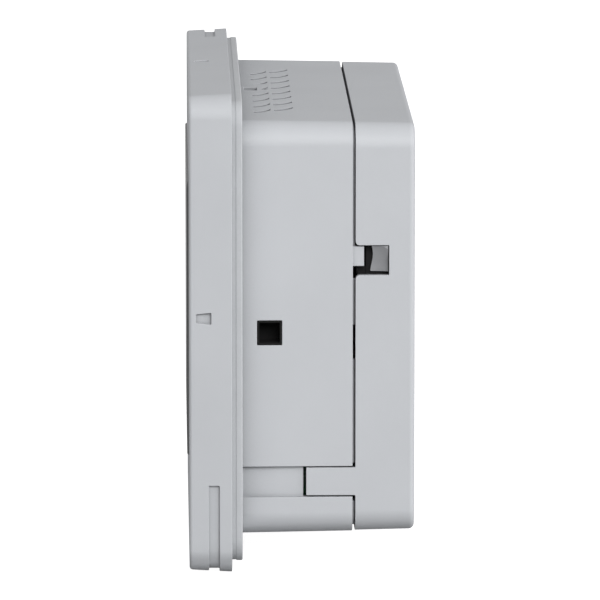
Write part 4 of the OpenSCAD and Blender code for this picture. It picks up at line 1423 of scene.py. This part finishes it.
    def _screws(self) -> None:
        """Builds the long screws that draw the body against the bezel."""
        low, high = box_mm("case_screws")
        part = screw(length=high.y - 2 - low.y, shank=1.5, head=2.8, rise=2.0)
        x, z = self.fixings.case
        grid(part, Finishes.screw, (0, high.y - 2, 0), 2, (2 * x, 0, 0), 2, (0, 0, 2 * z)).soften(
            0.1, 2).publish("case_fixing_screws", Body.DISPLAY, Slot.SCREW, Finishes.screw, "case_screws")


def screw(length: float, shank: float, head: float, rise: float) -> Solid:
    """Returns a screw along Y with its seat at the origin and a six-lobed drive.

    Args:
        length: Length of the shank in front of the seat.
        shank: Radius of the shank.
        head: Radius of the head.
        rise: Height of the head.

    Returns:
        The screw, with its head at the rear.
    """
    tip = 0.6
    part = Solid.lathe([(-length, shank - tip), (-length + tip, shank), (0, shank), (0, head),
                        (rise * 0.7, head), (rise * 0.9, head * 0.94), (rise, head * 0.8)], 32)
    lobes = [(head * (0.42 + 0.09 * math.cos(6 * t)) * math.cos(t),
              head * (0.42 + 0.09 * math.cos(6 * t)) * math.sin(t))
             for t in (2 * math.pi * k / 36 for k in range(36))]
    return part.cut(Solid.prism(lobes, Axis.Y, rise * 0.35, rise + 1))


@dataclass
class ReleaseLatch:
    """Push latch behind a side window: a dished pad on a carrier with a nose, the carrier black to stand in
    for the shade behind the window.
    """

    side: Side
    window: tuple[float, float, float] = (9.5, 15.7, 24.2)
    recess: float = 0.35
    dish: tuple[float, float, float, float] = (5.4, 3.0, 9.5, 2.0)
    border: tuple[Station, ...] = ((4.63, 8.3), (4.8, 7.3), (4.95, 5.9), (4.85, 4.6), (4.6, 3.3),
                                   (4.35, 2.2), (4.25, 1.3), (4.3, 0.85))

    stop: tuple[float, float, float] = (2.95, 0.95, 2.0)
    nose: tuple[float, float, float] = (0.55, 8.0, 18.8)
    apron: tuple[float, float] = (0.6, 18.0)

    @property
    def hand(self) -> str:
        """The side as it ends the names of the pieces."""
        return self.side.name.lower()

    @property
    def body(self) -> Body:
        """The moving body that the pieces ride on."""
        return Body.LATCH_RIGHT if self.side is Side.RIGHT else Body.LATCH_LEFT

    def build(self) -> None:
        """Builds the pad and its carrier."""
        self._pad()
        self._carrier()

    @property
    def flange(self) -> float:
        """Height of the carrier's face on the X axis."""
        return RearModule.width / 2 - RearModule.wall - 0.4

    def _pad(self) -> None:
        """Builds the grey pad: a curved front border and a dished face."""
        length, low, _ = self.window
        back = length - 0.2
        border = [*self.border, (back, self.border[-1][1]), (back, self.border[0][1])]
        shape = [(RearModule.front + y, low + z) for y, z in border]
        face = RearModule.width / 2 - self.recess
        y, z, radius, depth = self.dish
        ball = Solid.lathe([(radius * math.sin(a), radius * math.cos(a)) for a in arc(-88, 88, 40)], 96)
        pad = Solid.prism(shape, Axis.X, self.flange - 0.6, face)
        pad.cut(ball.moved((face + radius - depth, RearModule.front + y, low + z)))
        pad.on(self.side).soften(0.06, 1, 50).publish(
            f"latch_pad_{self.hand}", self.body, Slot.HOUSING, Finishes.latch, f"release_latch_{self.hand}")

    def _carrier(self) -> None:
        """Builds the carrier, black as a stand-in for the shade behind the window: a stop flange behind the
        window, a nose and an apron.
        """
        length, low, high = self.window
        start, flange = RearModule.front, self.flange
        near, beyond, thick = self.stop
        tip, tail, nose_low = self.nose
        apron_front, apron_high = self.apron
        inner = flange - thick
        carrier = Solid.box((inner, start + near, low - 0.9),
                            (flange, start + length + beyond, high + 1.3))
        carrier.join(Solid.box((flange - 4.2, start + tip, nose_low),
                               (inner + EPS, start + tail, high - 0.9)))
        carrier.join(Solid.box((flange - 1.4, start + apron_front, low - 0.9),
                               (flange - 0.2, start + near + EPS, apron_high)))
        carrier.on(self.side).soften(0.15, 2).publish(
            f"latch_carrier_{self.hand}", self.body, Slot.BLACK, Finishes.black_for_shade)


@dataclass
class RearModule:
    """Computing module at the rear: shell, cover, screws and ports."""

    fixings: Fixings
    front: float = 32.05
    width: float = 151.9
    height: float = 117.6
    corner: float = 7.0
    wall: float = 2.2
    edge: float = 1.5
    draft: float = 0.3
    tab: tuple[float, float, float, float] = (74.4, 18.1, -47.6, -39.55)
    window: tuple[float, float, float] = (9.5, 15.7, 24.2)
    mouth: float = 1.2
    plate_field: Flat = (78.0, 46.0)
    plate_middle: float = -12.0
    ports: tuple[float, float, float, float, float] = (-50.0, -29.0, -11.0, 17.0, 46.0)
    flap: float = 30.0
    hinge: Flat = (44.4, 1.25)
    latch_room: float = 66.8

    def build(self) -> None:
        """Builds the shell, cover, screws, card flap and contacts."""
        self._shell()
        self._cover()
        self._screws()
        self._card_flap()
        self._contacts()
        self._plug_screws()

    @property
    def back(self) -> float:
        """Depth of the rear face."""
        return box_mm("module_shell")[1].y

    @property
    def underside(self) -> float:
        """Height of the lower face."""
        return -self.height / 2

    def _shell(self) -> None:
        """Builds the module's shell."""
        back, floor = self.back, self.back - 2
        side_end = back - self.edge
        board_back = box_mm("module_board")[1].y
        shell = Solid.loft(Outline(self.width, self.height, self.corner), [(self.front, 0.0)] + [
            (side_end + self.edge * math.sin(a), self.draft + self.edge * (1 - math.cos(a)))
            for a in arc(0, 90, 6)])
        inner = Outline(self.width - 2 * self.wall, self.height - 2 * self.wall, self.corner - self.wall)
        shell.cut(Solid.slab(inner, self.front - 1, floor))
        screws, board = Fixings.four(self.fixings.module), self.fixings.module_board()
        shell.join(*rods(screws, CaseBody.head_boss, floor - 6, floor + EPS),
                   *rods(board, self.fixings.post, board_back, floor + EPS),
                   *(self._tab(side) for side in Side))
        shell.cut(*(self._window(side) for side in Side))
        for tool in self._port_cuts(board_back):
            shell.cut(tool)
        y, lift = self.hinge
        card = self.ports[4]
        shell.cut(Solid.rod(Axis.X, (y, self.underside + lift), 0.6, card - self.flap / 2 - 2,
                            card + self.flap / 2 + 2, 24))
        shell.cut(*rods(screws, self.fixings.module_clear, self.front, back + 1),
                  *rods(board, self.fixings.pilot, board_back - 1, board_back + 6))
        shell.cut(*rods(screws, self.fixings.head_clear, back - 3.2, back + 1),
                  Solid.slab(Outline(*self.plate_field, 2.0, self.plate_middle), back - 0.4, back + 1))
        shell.soften(0.15, 2).publish("module_case", Body.MODULE, Slot.HOUSING, Finishes.housing,
                                      "module_shell")

    def _tab(self, side: Side) -> Solid:
        """Returns the arm that fills the body's channel."""
        inner, start, low, high = self.tab
        face, end = self.width / 2, self.front + 2
        profile = [(inner, start), (face, start), (face, self.front), (face - 0.1, end), (inner, end)]
        return Solid.prism(profile, Axis.Z, low, high).on(side)

    def _window(self, side: Side) -> Solid:
        """Returns the tool for a latch window, with rounded corners at the seam."""
        length, low, high = self.window
        start, mouth = self.front, self.mouth
        below = [(start + mouth + mouth * math.cos(a), low - mouth + mouth * math.sin(a))
                 for a in arc(180, 90, 8)]
        above = [(start + mouth + mouth * math.cos(a), high + mouth + mouth * math.sin(a))
                 for a in arc(270, 180, 8)]
        profile = [(start - 1, low - mouth), *below, (start + length, low), (start + length, high),
                   *above, (start - 1, high + mouth)]
        return Solid.prism(profile, Axis.X, self.width / 2 - 6, self.width / 2 + 4).on(side)

    def _port_cuts(self, board_back: float) -> list[Solid]:
        """Returns the tools for the openings in the lower wall."""
        power, ethernet, usb, serial, card = self.ports
        low, high = self.underside - 1, self.underside + self.wall + 1
        near = board_back - 0.3
        flap = self.flap / 2 + 0.3
        hinge = self.hinge[0]
        spans = [(power, 8.3, near, 45.6), (ethernet, 8.2, near, 46.4), (usb, 6.8, near, 42.0),
                 (serial, 9.2, 36.2, 45.0), (card, 12.6, 36.9, 39.7)]
        tools = [Solid.box((x - half, y0, low), (x + half, y1, high)) for x, half, y0, y1 in spans]
        tools.append(Solid.box((card - flap, 35, low), (card + flap, hinge, self.underside + 1.6)))
        tools.append(Solid.box((card - flap, hinge - 1.5, low), (card + flap, hinge + 1.5, high)))
        return tools

    def _cover(self) -> None:
        """Builds the module's front plate with its posts."""
        low, high = box_mm("module_cover")
        back = low.y + 1.6
        inset = 2 * self.wall + 0.6
        cover = Solid.slab(Outline(self.width - inset, self.height - inset, self.corner - self.wall),
                           low.y, back)
        screws = Fixings.four(self.fixings.module)
        cover.join(*rods(screws, self.fixings.boss, back - EPS, high.y))
        cover.cut(*rods(screws, self.fixings.pilot, low.y - 1, high.y + 1),
                  Solid.slab(Outline(CaseBody.link[0], CaseBody.link[1], 2.0), low.y - 1, back + 1))
        _, window_low, window_high = self.window
        cover.cut(*(Solid.box((self.latch_room, low.y - 1, window_low - 1.4),
                              (self.width / 2 + 4, back + 1, window_high + 1.9)).on(side)
                    for side in Side))
        cover.soften(0.2, 2).publish("module_front_plate", Body.MODULE, Slot.HOUSING, Finishes.housing,
                                     "module_cover")

    def _screws(self) -> None:
        """Builds the four screws in the rear face."""
        low, high = box_mm("module_screws")
        part = screw(length=high.y - 2 - low.y, shank=1.2, head=2.8, rise=2.0)
        x, z = self.fixings.module
        grid(part, Finishes.screw, (0, high.y - 2, 0), 2, (2 * x, 0, 0), 2, (0, 0, 2 * z)).soften(
            0.1, 2).publish("rear_screws", Body.MODULE, Slot.SCREW, Finishes.screw, "module_screws")

    def _card_flap(self) -> None:
        """Builds the flap over the card slot, with its knuckle."""
        card, half = self.ports[4], self.flap / 2
        y, lift = self.hinge
        hinge = (y, self.underside + lift)
        flap = Solid.box((card - half, 35.3, self.underside + 0.15),
                         (card + half, y - 0.2, self.underside + 1.35))
        flap.join(Solid.rod(Axis.X, hinge, 1.1, card - half + 1, card + half - 1, 32))
        flap.cut(Solid.rod(Axis.X, hinge, 0.65, card - half - 1, card + half + 1, 24))
        flap.soften(0.15, 2).publish("card_flap", Body.FLAP, Slot.HOUSING, Finishes.housing, "card_cover")

    def _contacts(self) -> None:
        """Builds the spring contacts inside the network socket."""
        ethernet = self.ports[1]
        board_back = box_mm("module_board")[1].y
        spring = [(0.0, 0.0), (0.0, 9.0), (1.6, 9.0), (1.6, 8.7), (0.35, 0.0)]
        wire = Solid.prism(spring, Axis.X, -0.16, 0.16)
        middle = (ethernet, board_back + 1.32, self.underside + 3.5)
        grid(wire, Finishes.gold, middle, 8, (1.02, 0, 0)).soften(0.04, 1).publish(
            "network_contacts", Body.MODULE, Slot.SCREW, Finishes.gold)

    def _plug_screws(self) -> None:
        """Builds the clamping screws of the supply plug."""
        low, high = box_mm("plug_screws")
        middle = (low.z + high.z) / 2
        part = Solid.rod(Axis.Y, (0.0, 0.0), 1.5, -1.4, 0.0, 32)
        part.cut(Solid.box((-1.6, -0.4, -0.25), (1.6, 0.4, 0.25)))
        grid(part, Finishes.screw, (self.ports[0], high.y, middle), 3, (4.6, 0, 0)).soften(
            0.08, 2).publish("supply_plug_screws", Body.PLUG, Slot.SCREW, Finishes.screw, "plug_screws")


@dataclass
class Electronics:
    """What lies inside: CAD nodes that keep their shape, and the fins."""

    fins: int = 8
    fin: float = 1.2
    base: float = 1.8

    def build(self) -> None:
        """Builds the finned heat sink and dresses the inner parts."""
        self._heat_sink()
        self.dress(Finishes.foam, "display_seal")
        self.dress(Finishes.cell_glass, "lcd_panel")
        self.dress(Finishes.film, "backlight_unit")
        self.dress(Finishes.lens, "status_lens")
        self.dress(Finishes.sheet, "display_frame", "ethernet_socket", "usb_socket", "serial_socket",
                   "card_socket")
        self.dress(Finishes.screw, "frame_screws", "board_screws", "module_board_screws", "card_cover_pin")
        self.dress(Finishes.ribbon, "display_cable")
        self.dress(Finishes.board, "main_board", "module_board")
        self.dress(Finishes.chip, "processor", "module_chips")
        self.dress(Finishes.can, "board_capacitors")
        self.dress(Finishes.black, "buzzer", "base_connector", "module_connector", "cell_holder")
        self.dress(Finishes.coin, "coin_cell")
        self.dress(Finishes.terminal, "power_socket", "power_plug")

    @staticmethod
    def dress(finish: Finish, *nodes: str) -> None:
        """Gives CAD nodes a finish, without touching their shape.

        Args:
            finish: The finish.
            *nodes: The CAD nodes.
        """
        for node in nodes:
            obj = frame["nodes"][node]
            if not obj.material_slots:
                obj.data.materials.append(finish.material())
            for held in obj.material_slots:
                held.material = finish.material()
            LOG.info("%s keeps its shape, in %s", node, finish.name)

    def _heat_sink(self) -> None:
        """Builds the heat sink: a base with a row of fins towards the front."""
        low, high = box_mm("heat_sink")
        pitch = (high.x - low.x - self.fin) / (self.fins - 1)
        middle = ((low.x + high.x) / 2, 0.0, 0.0)
        blade = Solid.box((-self.fin / 2, low.y, low.z), (self.fin / 2, high.y - self.base + EPS, high.z))
        fins = grid(blade, Finishes.alloy, middle, self.fins, (pitch, 0, 0))
        sink = Solid.box((low.x, high.y - self.base, low.z), tuple(high))
        sink.join(fins).soften(0.12, 1).publish("heat_sink_fins", Body.DISPLAY, Slot.ALLOY, Finishes.alloy,
                                                "heat_sink")


# ---- studio ----


@dataclass
class Studio:
    """Pale floor, soft light and the camera."""

    floor_reach: float = 30.0
    focal: float = 402.0
    sensor: float = 36.0
    place: tuple[float, float, float] = (1.9485, -0.02115, 0.3053)
    pitch: float = 9.0
    yaw: float = -1.147
    ambient: float = 0.36
    surround: float = 1.05
    floor_glow: float = 0.97
    lamps: tuple[tuple[str, Point, float, float], ...] = (
        ("key", (2.4, 0.7, 1.5), 1.6, 62.0),
        ("rear", (0.6, 2.6, 0.5), 1.3, 26.0),
        ("front", (-1.7, -1.8, 0.7), 1.2, 12.0))

    def build(self) -> None:
        """Builds the stage, the lights, the world and the camera."""
        self._floor()
        self._world()
        for lamp in self.lamps:
            self._lamp(*lamp)
        self._camera()

    def _floor(self) -> None:
        """Lays a plain pale floor just under the unit."""
        level = box_mm("front_bezel")[0].z * MM - 0.0002
        reach = self.floor_reach
        mesh = bpy.data.meshes.new("floor")
        mesh.from_pydata([(-reach, -reach, level), (reach, -reach, level),
                          (reach, reach, level), (-reach, reach, level)], [], [(0, 1, 2, 3)])
        floor = bpy.data.objects.new("floor", mesh)
        bpy.context.scene.collection.objects.link(floor)
        made = bpy.data.materials.new("pale_floor")
        made.use_nodes = True
        w = Wiring(made.node_tree)
        shader = made.node_tree.nodes["Principled BSDF"]
        place = w.add("ShaderNodeTexCoord").outputs["Object"]
        speckle = w.ramp(w.noise(place, 3.0, 4.0), 0.2, 0.8)
        w.feed(shader.inputs["Base Color"],
               w.blend(speckle, (0.38, 0.38, 0.38, 1.0), (0.4, 0.4, 0.4, 1.0)))
        shader.inputs["Roughness"].default_value = 0.9
        shader.inputs["Emission Color"].default_value = WHITE
        seen = w.add("ShaderNodeLightPath").outputs["Is Camera Ray"]
        w.feed(shader.inputs["Emission Strength"], w.math("MULTIPLY", seen, self.floor_glow))
        mesh.materials.append(made)

    def _world(self) -> None:
        """Lights the scene from all round, against a white surround."""
        world = bpy.data.worlds.new("surround")
        world.use_nodes = True
        w = Wiring(world.node_tree)
        background = world.node_tree.nodes["Background"]
        background.inputs["Color"].default_value = WHITE
        seen = w.add("ShaderNodeLightPath").outputs["Is Camera Ray"]
        w.feed(background.inputs["Strength"],
               w.math("ADD", self.ambient, w.math("MULTIPLY", seen, self.surround - self.ambient)))
        bpy.context.scene.world = world

    @staticmethod
    def _lamp(name: str, place: Point, size: float, power: float) -> None:
        """Hangs a square soft light that faces the unit.

        Args:
            name: Its name.
            place: Where it hangs, in metres.
            size: Its side, in metres.
            power: Its power, in watts.
        """
        data = bpy.data.lights.new(name, "AREA")
        data.size = size
        data.energy = power
        lamp = bpy.data.objects.new(name, data)
        bpy.context.scene.collection.objects.link(lamp)
        lamp.location = place
        lamp.rotation_euler = (-Vector(place)).to_track_quat("-Z", "Y").to_euler()

    def _camera(self) -> None:
        """Sets the camera to the unit's right, a little above it."""
        pitch, yaw = math.radians(self.pitch), math.radians(self.yaw)
        ahead = Vector((-math.cos(pitch) * math.cos(yaw), -math.cos(pitch) * math.sin(yaw),
                        -math.sin(pitch)))
        data = bpy.data.cameras.new("camera")
        data.lens = self.focal
        data.sensor_width = self.sensor
        data.clip_end = 200.0
        camera = bpy.data.objects.new("camera", data)
        bpy.context.scene.collection.objects.link(camera)
        camera.location = self.place
        camera.rotation_euler = ahead.to_track_quat("-Z", "Y").to_euler()
        bpy.context.scene.camera = camera
        bpy.context.scene.view_settings.view_transform = "Standard"


def main() -> None:
    """Builds the pieces in order, then the studio."""
    logging.basicConfig(level=logging.INFO, format="%(message)s")
    fixings = Fixings()
    assemblies: list[Callable[[], None]] = [
        DisplayFront(fixings).build, CaseBody(fixings).build, RearModule(fixings).build,
        ReleaseLatch(Side.RIGHT).build, ReleaseLatch(Side.LEFT).build, Electronics().build,
        Studio().build]
    for build in assemblies:
        build()


if __name__ == "__main__":
    main()
